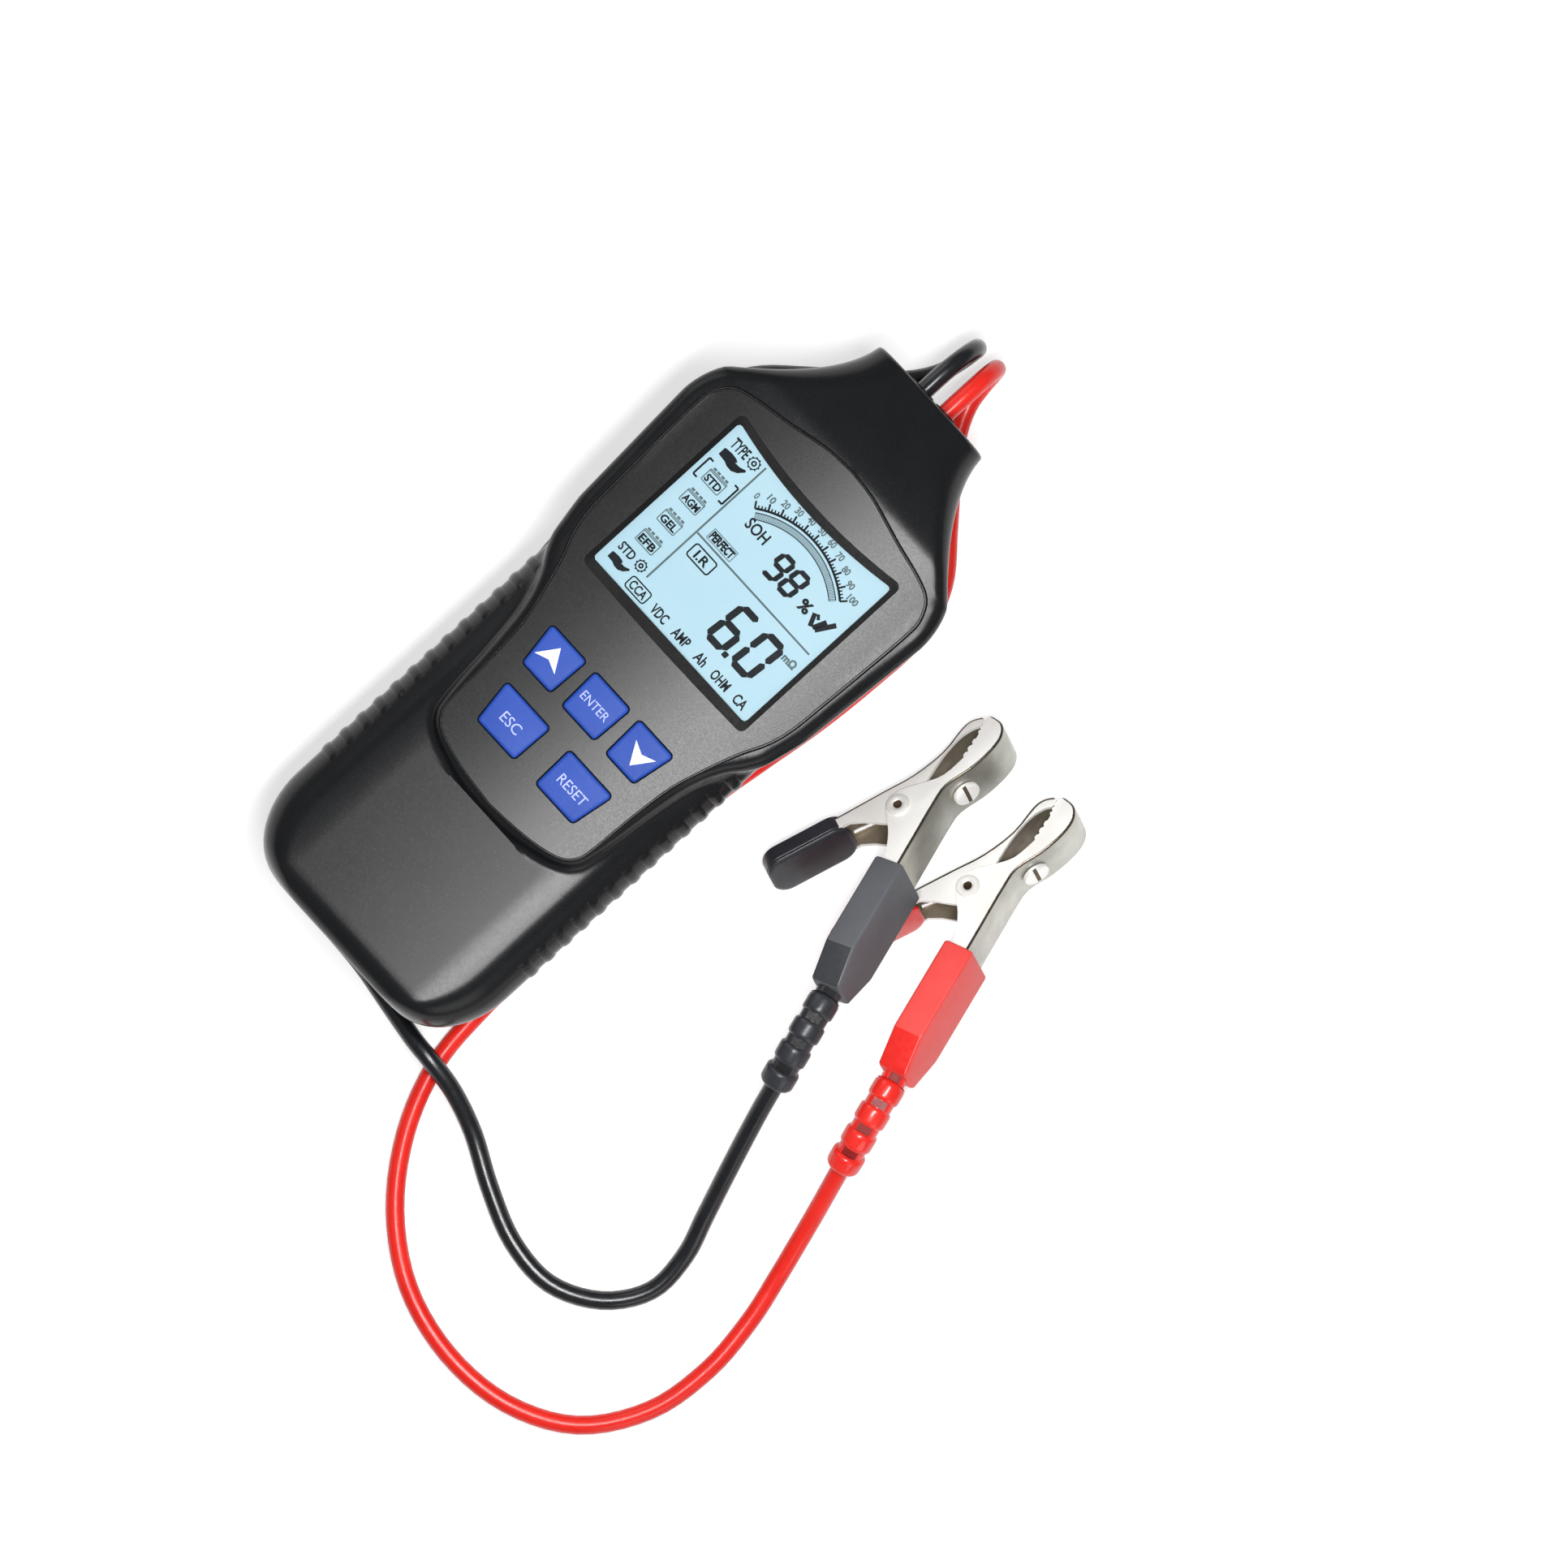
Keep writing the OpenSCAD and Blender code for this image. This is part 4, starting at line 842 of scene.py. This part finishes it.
# ---------- flat pictures: display and legends
class Sketch:
    """Gathers flat shapes in a plane and makes them one thin piece."""

    def __init__(self):
        self.verts, self.faces, self.kinds = [], [], []

    def add(self, points, faces, kind):
        base = len(self.verts)
        self.verts += [tuple(p) for p in points]
        self.faces += [tuple(base + v for v in f) for f in faces]
        self.kinds += [kind] * len(faces)

    def shape(self, outline, kind=0):
        self.add(outline, [range(len(outline))], kind)

    def bar(self, a, b, width, kind=0):
        a, b = np.array(a, float), np.array(b, float)
        d = (b - a) / max(np.linalg.norm(b - a), 1e-9)
        n = np.array([-d[1], d[0]]) * width / 2
        self.shape([a + n, a - n, b - n, b + n], kind)

    def path(self, points, width, kind=0):
        for a, b in zip(points[:-1], points[1:]):
            self.bar(a, b, width, kind)

    def box(self, x0, y0, x1, y1, width, r, kind=0):
        outside = rounded(rectangle(x0, y0, x1, y1), r, 4)
        inside = rounded(
            rectangle(x0 + width, y0 + width, x1 - width, y1 - width), max(r - width, 0.08), 4)
        self.add([*outside, *inside], grid_faces(2, len(outside)), kind)

    def ring(self, cx, cy, r, width):
        outside, inside = [(cx, cy) + (r + w) * circle(24) for w in (width / 2, -width / 2)]
        self.add([*outside, *inside], grid_faces(2, 24), 0)

    def words(self, text, x0, y0, x1, y1, kind=0, bold=0.025):
        """Plain lettering stretched into a box."""
        data = bpy.data.curves.new("words", "FONT")
        data.body, data.size, data.offset, data.resolution_u = text, 1.0, bold, 3
        me = curve_mesh(data)
        co = np.array([v.co[:2] for v in me.vertices])
        lo, hi = co.min(0), co.max(0)
        co = (co - lo) / (hi - lo) * (x1 - x0, y1 - y0) + (x0, y0)
        self.add(co, [f.vertices for f in me.polygons], kind)
        bpy.data.meshes.remove(me)

    def make(self, name, z, thickness, materials):
        obj = raw_object(name, level(self.verts, z), self.faces, materials)
        obj.data.polygons.foreach_set("material_index", self.kinds)
        with Editing(obj) as bm:
            bmesh.ops.remove_doubles(bm, verts=bm.verts, dist=0.0005 * MM)
            for f in bm.faces:
                if f.normal.z < 0:
                    f.normal_flip()
            top = bmesh.ops.extrude_face_region(bm, geom=bm.faces[:])
            moved = [g for g in top["geom"] if isinstance(g, bmesh.types.BMVert)]
            bmesh.ops.translate(bm, vec=(0, 0, thickness * MM), verts=moved)
            bmesh.ops.recalc_face_normals(bm, faces=bm.faces)
        return obj


SEGMENTS = {"0": "abcdef", "6": "acdefg", "8": "abcdefg", "9": "abcdfg"}


def digit(sketch, char, x, y, w, h, t, slant=0.12):
    """A seven-segment digit with its lower left corner at x, y and bars t wide."""
    m = h / 2
    ends = {
        "a": ((0, h), (w, h)), "g": ((0, m), (w, m)), "d": ((0, 0), (w, 0)), "f": ((0, m), (0, h)),
        "b": ((w, m), (w, h)), "e": ((0, 0), (0, m)), "c": ((w, 0), (w, m))}
    for s in SEGMENTS[char]:
        a, b = np.array(ends[s], float)
        d = unit(b - a)
        n = np.array((-d[1], d[0])) * t / 2
        a, b = a + d * t * 0.04, b - d * t * 0.04
        tip = d * t * 0.42
        pts = [a, a + tip + n, b - tip + n, b, b - tip - n, a + tip - n]
        sketch.shape([(x + p[0] + slant * p[1], y + p[1]) for p in pts])


def gear(s, cx, cy, r):
    for k in range(10):
        a = 2 * math.pi * k / 10
        root, tip = [(cx + f * r * math.cos(a), cy + f * r * math.sin(a)) for f in (0.84, 1.04)]
        s.bar(root, tip, 0.36)
    s.ring(cx, cy, 0.82 * r, 0.3)
    s.ring(cx, cy, 0.3 * r, 0.42)


def hand(s, x, y, w):
    """A pointing hand, as a dark shape w wide."""
    p = [(0, 0.08), (0.3, 0.06), (0.46, 0.0), (0.66, 0.0), (0.84, 0.1), (1.0, 0.3), (0.96, 0.36),
         (0.76, 0.28), (0.56, 0.27), (0.6, 0.33), (0.5, 0.38), (0.3, 0.4), (0.1, 0.38), (0, 0.36)]
    s.shape([(x + a * w, y + b * w) for a, b in p])


def battery(s, x0, y0, x1, y1, text):
    """A battery in outline with four caps and its kind written into it."""
    s.box(x0, y0, x1, y1, 0.26, 0.4, 1)
    w = x1 - x0
    for k in (0.16, 0.38, 0.62, 0.84):
        s.bar((x0 + (k - 0.08) * w, y1 + 0.45), (x0 + (k + 0.08) * w, y1 + 0.45), 0.6, 1)
    s.bar((x0 + 0.24, y1 - 0.55), (x1 - 0.24, y1 - 0.55), 0.3, 1)
    s.words(text, x0 + 0.5, y0 + 0.5, x1 - 0.5, y0 + 2.6, bold=0.035)


# The left column: the kinds of battery
lcd = Sketch()
lcd.words("TYPE", -25.4, 55.3, -20.2, 58.3)
gear(lcd, -17.9, 56.7, 1.75)
hand(lcd, -25.6, 51.3, 7.9)
battery(lcd, -24.2, 44.5, -18.2, 48.3, "STD")
for s, x in ((1, -26.3), (-1, -15.9)):
    lcd.path([(x + s * 1.3, 49.7), (x, 49.7), (x, 44.1), (x + s * 1.3, 44.1)], 0.5)
for y, text in ((37.2, "AGM"), (29.8, "GEL"), (22.6, "EFB")):
    battery(lcd, -24.3, y, -18.2, y + 3.8, text)
lcd.words("STD", -25.5, 18.0, -20.7, 20.5)
gear(lcd, -18.1, 19.2, 1.6)
hand(lcd, -25.5, 14.3, 6.4)
lcd.bar((-15.1, 58.2), (-15.1, 18.3), 0.5, 1)
lcd.bar((-14.8, 35.0), (26.0, 35.0), 0.5, 1)
# The gauge: an arc with ticks, numbers and a band below it
GAUGE_X, GAUGE_Y, GAUGE_R = 5.9, 29.6, 27.6
GAUGE_HALF_SPAN = math.radians(38.0)
SCALE, BAND_TOP, BAND_LOW = -2.4, -3.4, -5.1


def on_gauge(u, rise):
    """A point from the left end, u = 0, to the right end, u = 1, that far above the radius."""
    a, r = (u - 0.5) * 2 * GAUGE_HALF_SPAN, GAUGE_R + rise
    return (GAUGE_X + r * math.sin(a), GAUGE_Y + r * math.cos(a))


lcd.path([on_gauge(u, SCALE) for u in np.linspace(0, 1, 49)], 0.6)
for rise in (BAND_TOP, BAND_LOW):
    lcd.path([on_gauge(u, rise) for u in np.linspace(0.01, 0.99, 49)], 0.24)
for k in range(81):
    u = 0.01 + 0.98 * k / 80
    lcd.bar(on_gauge(u, BAND_TOP), on_gauge(u, BAND_LOW), 0.2, 1)
for k in range(41):
    tick, width = (-1.5, 0.36) if k % 4 else (-0.5, 0.5)
    lcd.bar(on_gauge(k / 40, SCALE), on_gauge(k / 40, tick), width)
for k in range(11):
    x, y = on_gauge(k / 10, 0.75)
    label = str(10 * k)
    w = (0.5, 1.05, 1.5)[len(label) - 1]
    lcd.words(label, x - w, y - 0.95, x + w, y + 0.95, 1, 0.03)
# The reading and what it means
lcd.words("SOH", -8.5, 44.6, -1.6, 47.8, bold=0.02)
digit(lcd, "9", 2.9, 40.6, 3.6, 6.8, 1.3)
digit(lcd, "8", 8.3, 40.6, 3.6, 6.8, 1.3)
lcd.words("%", 14.9, 40.6, 18.2, 44.0, bold=0.04)
for a, b, width in (((20.9, 39.9), (19.4, 43.0), 1.2), ((21.6, 40.1), (23.0, 43.6), 1.2),
                    ((22.4, 40.1), (25.2, 44.8), 1.3), ((20.2, 43.4), (21.2, 42.4), 0.8)):
    lcd.bar(a, b, width)
lcd.words("PERFECT", -12.2, 36.2, -4.5, 38.6, bold=0.05)
frame_line = rectangle(-12.5, 35.9, -4.2, 38.9)
lcd.path(frame_line + frame_line[:1], 0.2, 1)
# The inner resistance and the units
lcd.box(-13.1, 29.2, -5.3, 33.5, 0.4, 0.9)
lcd.words("I.R", -11.3, 30.1, -7.1, 32.6)
digit(lcd, "6", 5.3, 19.9, 5.3, 11.2, 1.8, slant=0.09)
lcd.shape(rounded([(11.2, 19.0), (12.7, 19.0), (12.8, 20.5), (11.3, 20.5)], 0.3, 3))
digit(lcd, "0", 14.3, 19.9, 5.5, 11.2, 1.8, slant=0.09)
lcd.words("mΩ", 21.9, 29.2, 26.0, 31.5, 1, bold=0.05)
lcd.box(-17.7, 12.8, -10.7, 16.6, 0.36, 0.9)
lcd.words("CCA", -16.8, 13.5, -11.6, 15.9)
for text, x0, x1 in (("VDC", -8.8, -3.7), ("AMP", -1.0, 4.2), ("Ah", 7.1, 10.5),
                     ("OHM", 13.1, 18.7), ("CA", 21.2, 25.0)):
    lcd.words(text, x0, 13.2, x1, 16.0)
PICTURE_Z, PICTURE_THICKNESS = 40.0, 0.05
picture = lcd.make("display_picture", PICTURE_Z, PICTURE_THICKNESS, [INK, INK_SOFT])
finish_object(picture, BODY)


# ---------- keys
KEY_TOP = [(37.9, 0.0), (41.55, 0.0), (41.9, -0.06), (42.12, -0.22), (42.25, -0.5), (42.3, -0.9)]
FLANGE_Z, FLANGE_OUT = (36.85, 37.75), 1.4
STEM_LOW, STEM_HIGH, STEM_R = 35.7, 37.2, 2.2
LEGEND_Z, LEGEND_THICKNESS = 42.25, 0.08


def key_cap(key, legend):
    """A key with a soft edge, a stem and a rubber flange under the panel, and its legend."""
    x, y = KEYS[key][:2]
    rings = [level(key_outline(key, FLANGE_OUT), z) for z in FLANGE_Z]
    rings += [level(grow(key_outline(key, 0.0), g), z) for z, g in KEY_TOP]
    obj = loft(key + "_cap", rings)
    boolean(obj, disc("stem", x, y, STEM_LOW, STEM_HIGH, STEM_R, 24), "UNION")
    cover(obj.data, [KEY])
    finish_object(obj, key, [key], angle=40)
    mark = legend.make(key + "_legend", LEGEND_Z, LEGEND_THICKNESS, [LEGEND, LEGEND_SOFT])
    finish_object(mark, key)


marks = {key: Sketch() for key in KEYS}
marks["key_up"].shape([(-16.35, -9.0), (-12.7, -14.5), (-16.35, -13.1)])
marks["key_up"].shape([(-16.35, -9.0), (-16.35, -13.1), (-20.0, -14.5)])
marks["key_down"].shape([(16.35, -12.0), (20.0, -10.5), (16.3, -16.0)])
marks["key_down"].shape([(12.8, -10.5), (16.35, -12.0), (16.3, -16.0)])
marks["key_enter"].words("ENTER", -4.6, -13.6, 4.3, -11.3, 1, bold=0.0)
marks["key_esc"].words("ESC", -14.0, -31.9, -8.0, -29.1, 1, bold=0.0)
marks["key_reset"].words("RESET", 6.8, -31.8, 15.9, -29.1, 1, bold=0.0)
for key in KEYS:
    key_cap(key, marks[key])


# ---------- clips
# A clip's own frame starts on the rivet's axis: X to the lead's side, Y to the jaws, Z along it
CLIP_AT = {"black": ((72.2, 25.4, 12.75), 22.5, 28.0), "red": ((98.2, 24.9, 10.85), 16.7, 23.0)}
CLIP_HEADING = 21.5
HALF_JAW, SHEET_T, INNER_HALF = 7.0, 1.0, 5.9
FIXED_EDGE = [
    (7.2, -15.4), (7.9, -7), (8.8, 3.3), (9.8, 8.7), (13.7, 14.4), (16.3, 19.6), (17.6, 24),
    (17.4, 27), (16, 29.2), (13.4, 30.2)]
MOVING_EDGE = [
    (9.6, 29.9), (7.6, 28.6), (5.9, 25.7), (3.9, 17.9), (-0.6, 9.9), (-5.8, 3.8), (-13.7, -5.5)]
HANDLE_START, HANDLE_HEADING, HANDLE_METAL, HANDLE_DEPTH = np.array([-13.7, -5.5]), 228.4, 20.0, 3.6
HANDLE_DIR = np.array([f(math.radians(HANDLE_HEADING)) for f in (math.cos, math.sin)])
HANDLE_IN = np.array([-HANDLE_DIR[1], HANDLE_DIR[0]])
BOOT_FOOT, BOOT_LEAN, BOOT_METAL = (1.8, -50.8), -5.4, (2.1, 24.0)
SCREW_SPOT, SCREW_LEAN = (11.75, 11.55), -34.4


def turn(axis, degrees):
    return Matrix.Rotation(math.radians(degrees), 4, axis)


def move(x, y, z=0.0):
    return Matrix.Translation((x * MM, y * MM, z * MM))


def clip_matrix(side):
    at, pitch, roll = CLIP_AT[side]
    return move(*at) @ turn("Z", CLIP_HEADING) @ turn("X", -pitch) @ turn("Y", -roll)


BOOT = move(*BOOT_FOOT) @ turn("Z", BOOT_LEAN)
HANDLE = move(*HANDLE_START) @ turn("Z", HANDLE_HEADING)
SCREW_AXIS = move(*SCREW_SPOT) @ turn("Z", SCREW_LEAN) @ turn("Y", 90)


def boot_point(x, y):
    p = BOOT @ Vector((x * MM, y * MM, 0))
    return (p.x / MM, p.y / MM)


def soft_line(points):
    return [tuple(p) for p in catmull(points, 3)]


def teeth(a, b, n, depth):
    """Points from a to b with n rounded notches cut to the right of that line."""
    a, b = np.array(a, float), np.array(b, float)
    d = b - a
    right = unit(np.array([d[1], -d[0]]))
    out = [tuple(a)]
    for k in range(n):
        for t, lift in ((0.1, 0.0), (0.25, -0.8), (0.5, -1.0), (0.75, -0.8), (0.9, 0.0)):
            out.append(tuple(a + d * (k + t) / n - right * lift * depth))
    out.append(tuple(b))
    return out


FOLD_R = 0.8


def channel(name, spine, rest, half, beyond):
    """Bent sheet: two cheeks of one outline joined by a strap along the spine, with soft folds;
    cheeks, strap and folds take lit and shaded copies of the nickel as painted light and shade.
    """
    outline = list(spine) + list(rest)
    n, m = len(outline), len(spine)
    obj = prism(name, outline, -half, half, [CHEEK_LIT, STRAP_SHADE, FOLD_REFLECTION])
    me = obj.data
    weights = me.attributes.new("bevel_weight_edge", "FLOAT", "EDGE")
    for e in me.edges:
        a, b = e.vertices
        if a // n == b // n and max(a % n, b % n) < m and abs(a % n - b % n) == 1:
            weights.data[e.index].value = 1.0
    # The strap's faces take the shaded copy of the nickel
    for f in me.polygons:
        ids = [v % n for v in f.vertices]
        if len(ids) == 4 and max(ids) < m and max(ids) - min(ids) == 1:
            f.material_index = 1
    # The bevel along the folds takes the dark nickel as a painted dark reflection
    mod = obj.modifiers.new("fold", "BEVEL")
    mod.width = FOLD_R * MM
    mod.segments = 3
    mod.limit_method = "WEIGHT"
    mod.material = 2
    bake(obj)
    p = np.asarray(spine, float)
    inner = []
    for i in range(m):
        d = unit(p[min(m - 1, i + 1)] - p[max(0, i - 1)])
        inner.append(tuple(p[i] + SHEET_T * np.array([-d[1], d[0]])))
    # The channel's inner walls take the nickel's painted shade
    cutter = prism("inside", inner + beyond, -half + SHEET_T, half - SHEET_T, [INSIDE_SHADE])
    boolean(obj, cutter, transfer=True)
    return obj


def place(obj, matrix, body, angle):
    """Brings a piece, named after its node, from its own frame to where it replaces the node."""
    obj.data.transform(matrix)
    obj.data.update()
    finish_object(obj, body, [obj.name.removesuffix("_skin")], angle)


def box_form(x0, x1, y0, y1, z0, z1, material):
    return prism("box", rectangle(x0, y0, x1, y1), z0, z1, [material])


RIVET_HOLE_R = 1.7


def jaws(side, m):
    """The fixed jaw with its teeth and the moving jaw with its handle."""
    fixed_spine = [boot_point(*BOOT_METAL)] + soft_line(FIXED_EDGE)
    bite = teeth((11.55, 28.6), (11.7, 24.6), 3, 0.4) + teeth((11.6, 23.4), (10.7, 17.1), 3, 0.45)
    lobe = soft_line([(10.7, 17.1), (7.9, 11.3), (3.9, 7.9), (1, 6), (-1.6, 3.8), (-2.7, 1.2),
                      (-2.6, -1.6), (-1.4, -4), (0.6, -7.4), (2.1, -11.4), (3, -15.4)])
    back = boot_point(-BOOT_METAL[0], BOOT_METAL[1])
    fixed = channel(side + "_fixed_jaw_skin", fixed_spine, [(12.3, 30.0), (11.65, 29.4)] + bite
                    + lobe[1:] + [back], HALF_JAW, [(-30, 34), (-30, -30)])
    # The rivet hole's walls take the painted shade
    hole = revolve("hole", [(RIVET_HOLE_R, -9), (RIVET_HOLE_R, 9)], 28, [INSIDE_SHADE])
    boolean(fixed, hole, transfer=True, keep=True)
    place(fixed, m, BODY, 30)
    end = HANDLE_START + HANDLE_METAL * HANDLE_DIR
    moving_spine = soft_line(MOVING_EDGE) + [tuple(end)]
    inner = [
        tuple(end + HANDLE_DEPTH * HANDLE_IN),
        tuple(HANDLE_START + HANDLE_DEPTH * HANDLE_IN + (0.4, 0.45))]
    inner += soft_line([(-7.2, -6.2), (-1.6, -5.2), (1.4, -4), (3.2, -1.6), (3.8, 2), (3.6, 7.4),
                        (4.6, 16), (6.5, 22.5), (8.8, 26), (10.8, 27.6), (10.9, 29.4)])
    moving = channel(side + "_moving_jaw_skin", moving_spine, inner, INNER_HALF,
                     [(-20, -40), (45, -40), (45, 45)])
    boolean(moving, hole, transfer=True)
    place(moving, m, side + "_jaw", 30)


# Radius and height of the turned pieces
RIVET_PROFILE = [
    (0.85, -7.95), (2.7, -7.95), (3.0, -7.7), (3.0, -7.05), (1.66, -6.95), (1.66, 6.95),
    (2.95, 7.02), (3.0, 7.3), (2.85, 7.6), (2.3, 7.76), (1.7, 7.7), (1.15, 7.5), (0.9, 7.1)]
SCREW_PROFILE = [
    (1.5, -4.4), (1.5, 0.06), (3.3, 0.06), (3.5, 0.25), (3.5, 0.95), (3.38, 1.25), (3.05, 1.45),
    (2.2, 1.58), (1.0, 1.64), (0.2, 1.65)]
TURNED_SIDES = 40
WIRE, COIL_R, COIL_HALF, COIL_END = 1.1, 2.75, 1.65, 8 * math.pi + 2.25


def small_metal(side, m):
    """The rivet, the clamp screw and the spring."""
    rivet = revolve(side + "_rivet_skin", RIVET_PROFILE, TURNED_SIDES, [RIVET, BORE_SHADE], closed=True)
    wall = len(RIVET_PROFILE) - 1
    # The bore's faces take the painted shade
    for f in rivet.data.polygons:
        if {v // TURNED_SIDES for v in f.vertices} in ({wall, 0}, {wall, wall - 1}):
            f.material_index = 1
    place(rivet, m, BODY, 40)
    # The clamp screw is painted near white as its highlight
    screw = revolve(side + "_clamp_screw_skin", SCREW_PROFILE, TURNED_SIDES, [SCREW_GLINT])
    # The slot's walls take the painted shade
    boolean(screw, box_form(-5, 5, -0.5, 0.5, 0.95, 3, BORE_SHADE), transfer=True)
    place(screw, m @ SCREW_AXIS, BODY, 35)
    coil = [(COIL_R * math.cos(a), COIL_R * math.sin(a), COIL_HALF - 2 * COIL_HALF * a / COIL_END)
            for a in np.linspace(0, COIL_END, 130)]
    line = [(x, y, COIL_HALF) for x, y in ((5.6, -9), (4.4, -5.6), (3.2, -2.0))] + coil
    line += [(-6.4, -0.6, -COIL_HALF), (-12.2, -6.2, -COIL_HALF)]
    spring = loft(side + "_spring_skin", tube_rings(line, WIRE / 2, 10), [RIVET])
    place(spring, m, BODY, 60)


def upright(outline, y):
    """An outline in X and Z put at y."""
    return level(outline, y)[:, [0, 2, 1]]


def lead_boot(side, m, material, shade):
    """A flat sleeve that widens from the lead to the jaws; the sloping faces at its narrow end are
    painted darker as shade.
    """
    half_x, half_end, half_side, taper, shade_end = 4.1, 4.4, 8.3, 10.0, 9.9
    rings = []
    for y, inset in ((0.0, 0.7), (0.2, 0.3), (0.6, 0.0), (3.3, 0), (6.6, 0), (9.4, 0), (9.75, 0),
                     (10.25, 0), (10.6, 0), (16, 0), (22, 0), (28, 0), (34.7, 0), (35.15, 0.15),
                     (35.4, 0.5)):
        w = half_end + (half_side - half_end) * min(y / taper, 1.0) - inset
        x = half_x - inset
        rings.append(upright(rounded(rectangle(-x, -w, x, w), 0.75, 4), y))
    obj = loft(side + "_lead_boot_skin", rings, [material, shade])
    # Painted shade on the tapering faces of the narrow end
    for f in obj.data.polygons:
        if f.center.y < shade_end * MM and abs(f.normal.z) > 0.6:
            f.material_index = 1
    # The mouth's walls take the near-black colour as painted shade
    mouth = prism("mouth", rectangle(-2.2, 13, 2.2, 40), -7.1, 7.1, [BLACK_AND_CAVITY_SHADE])
    boolean(obj, mouth, transfer=True)
    place(obj, m @ BOOT, BODY, 30)


RELIEF_BEND = math.radians(50.0)
RELIEF_R = 27.0 / RELIEF_BEND
BEAD_RADII, NECK_R = (4.12, 4.16, 4.2, 4.4), 3.55


def relief(side, m, material, window_shade):
    """A ribbed sleeve on an arc, with two windows in each neck whose walls are painted dark as
    shade.
    """
    def at(s):
        a = RELIEF_BEND * s
        return np.array([0.0, -RELIEF_R * math.sin(a), RELIEF_R * (math.cos(a) - 1)]), a

    middles = [(k + 0.65) / 4 for k in range(4)]
    profile = {0.0: 3.3, 0.06: 3.3, 0.075: 3.9}
    for c, r in zip(middles, BEAD_RADII):
        for away, bead in ((0.087, NECK_R), (0.081, r - 0.35), (0.067, r - 0.06), (0.04, r)):
            profile.update({round(c - away, 4): bead, round(c + away, 4): bead})
    rings = []
    across, upward = np.hsplit(circle(36), 2)
    for s, r in sorted(profile.items()):
        p, bend = at(s)
        up = np.array([0.0, -math.sin(bend), math.cos(bend)])
        rings.append(p + r * (across * np.array([1.0, 0, 0]) + upward * up))
    obj = loft(side + "_relief_skin", rings, [material])
    # The windows' walls and floors are painted dark as the shade inside them
    for s in [0.03] + [c - 0.125 for c in middles[1:]]:
        p, bend = at(s)
        for low, high in ((-6, -2.9), (2.9, 6)):
            window = box_form(-1.9, 1.9, -1.05, 1.05, low, high, window_shade)
            window.data.transform(move(*p) @ Matrix.Rotation(bend, 4, "X"))
            boolean(obj, window, transfer=True)
    lean = turn("Y", CLIP_AT[side][2])
    place(obj, m @ BOOT @ lean, BODY, 40)


def handle_boot(side, m, material):
    """A soft grip over the moving jaw's handle, with a groove near its upper face."""
    length, half = 23.5, 6.8
    base = rounded(rectangle(0.2, -half, length, half), 4.5, 8)
    rings = []
    for t, g in ((-0.9, -1.3), (-0.75, -0.75), (-0.4, -0.25), (0.2, 0), (3.35, 0), (3.5, -0.14),
                 (3.62, -0.14), (3.78, 0), (4.15, 0), (4.4, -0.2), (4.6, -0.62), (4.7, -1.2)):
        rings.append(upright(grow(base, g), t))
    obj = loft(side + "_handle_boot_skin", rings, [material])
    # The cavity's walls take the near-black colour as painted shade
    boolean(obj, box_form(-6, 19.8, -0.15, 3.75, -6.05, 6.05, BLACK_AND_CAVITY_SHADE), transfer=True)
    place(obj, m @ HANDLE, side + "_jaw", 32)


for side, vinyl, boot, shade, window_shade in (("black", BLACK_VINYL, GREY_BOOT, GREY_BOOT_SHADE, BLACK_AND_CAVITY_SHADE),
                                       ("red", RED_VINYL, RED_BOOT, RED_BOOT_SHADE, RED_SHADE)):
    m = clip_matrix(side)
    jaws(side, m)
    small_metal(side, m)
    lead_boot(side, m, boot, shade)
    relief(side, m, vinyl, window_shade)
    handle_boot(side, m, vinyl)


# ---------- nodes that keep their shape
CARRIED = (
    (WINDOW, "display_window"), (LCD, "display_glass"), (GUIDE, "backlight"),
    (BLACK_AND_CAVITY_SHADE, "display_frame key_switches processor buzzer lead_clamp black_grommet red_grommet"),
    (BOARD, "main_board"), (SHEET, "keypad_sheet"), (SCREW, "case_screws clamp_screws"),
    (CERAMIC, "load_resistors"), (BLUE_CASE, "relay capacitor"),
    (BRASS, "lead_terminals black_lug red_lug"), (BLACK_LEAD, "lead_tails"))
for material, nodes in CARRIED:
    for node in nodes.split():
        cover(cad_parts[node].data, [material])

for side, exit_x in (("black", LEAD_X[0]), ("red", LEAD_X[1])):
    lead, line = leads[side]
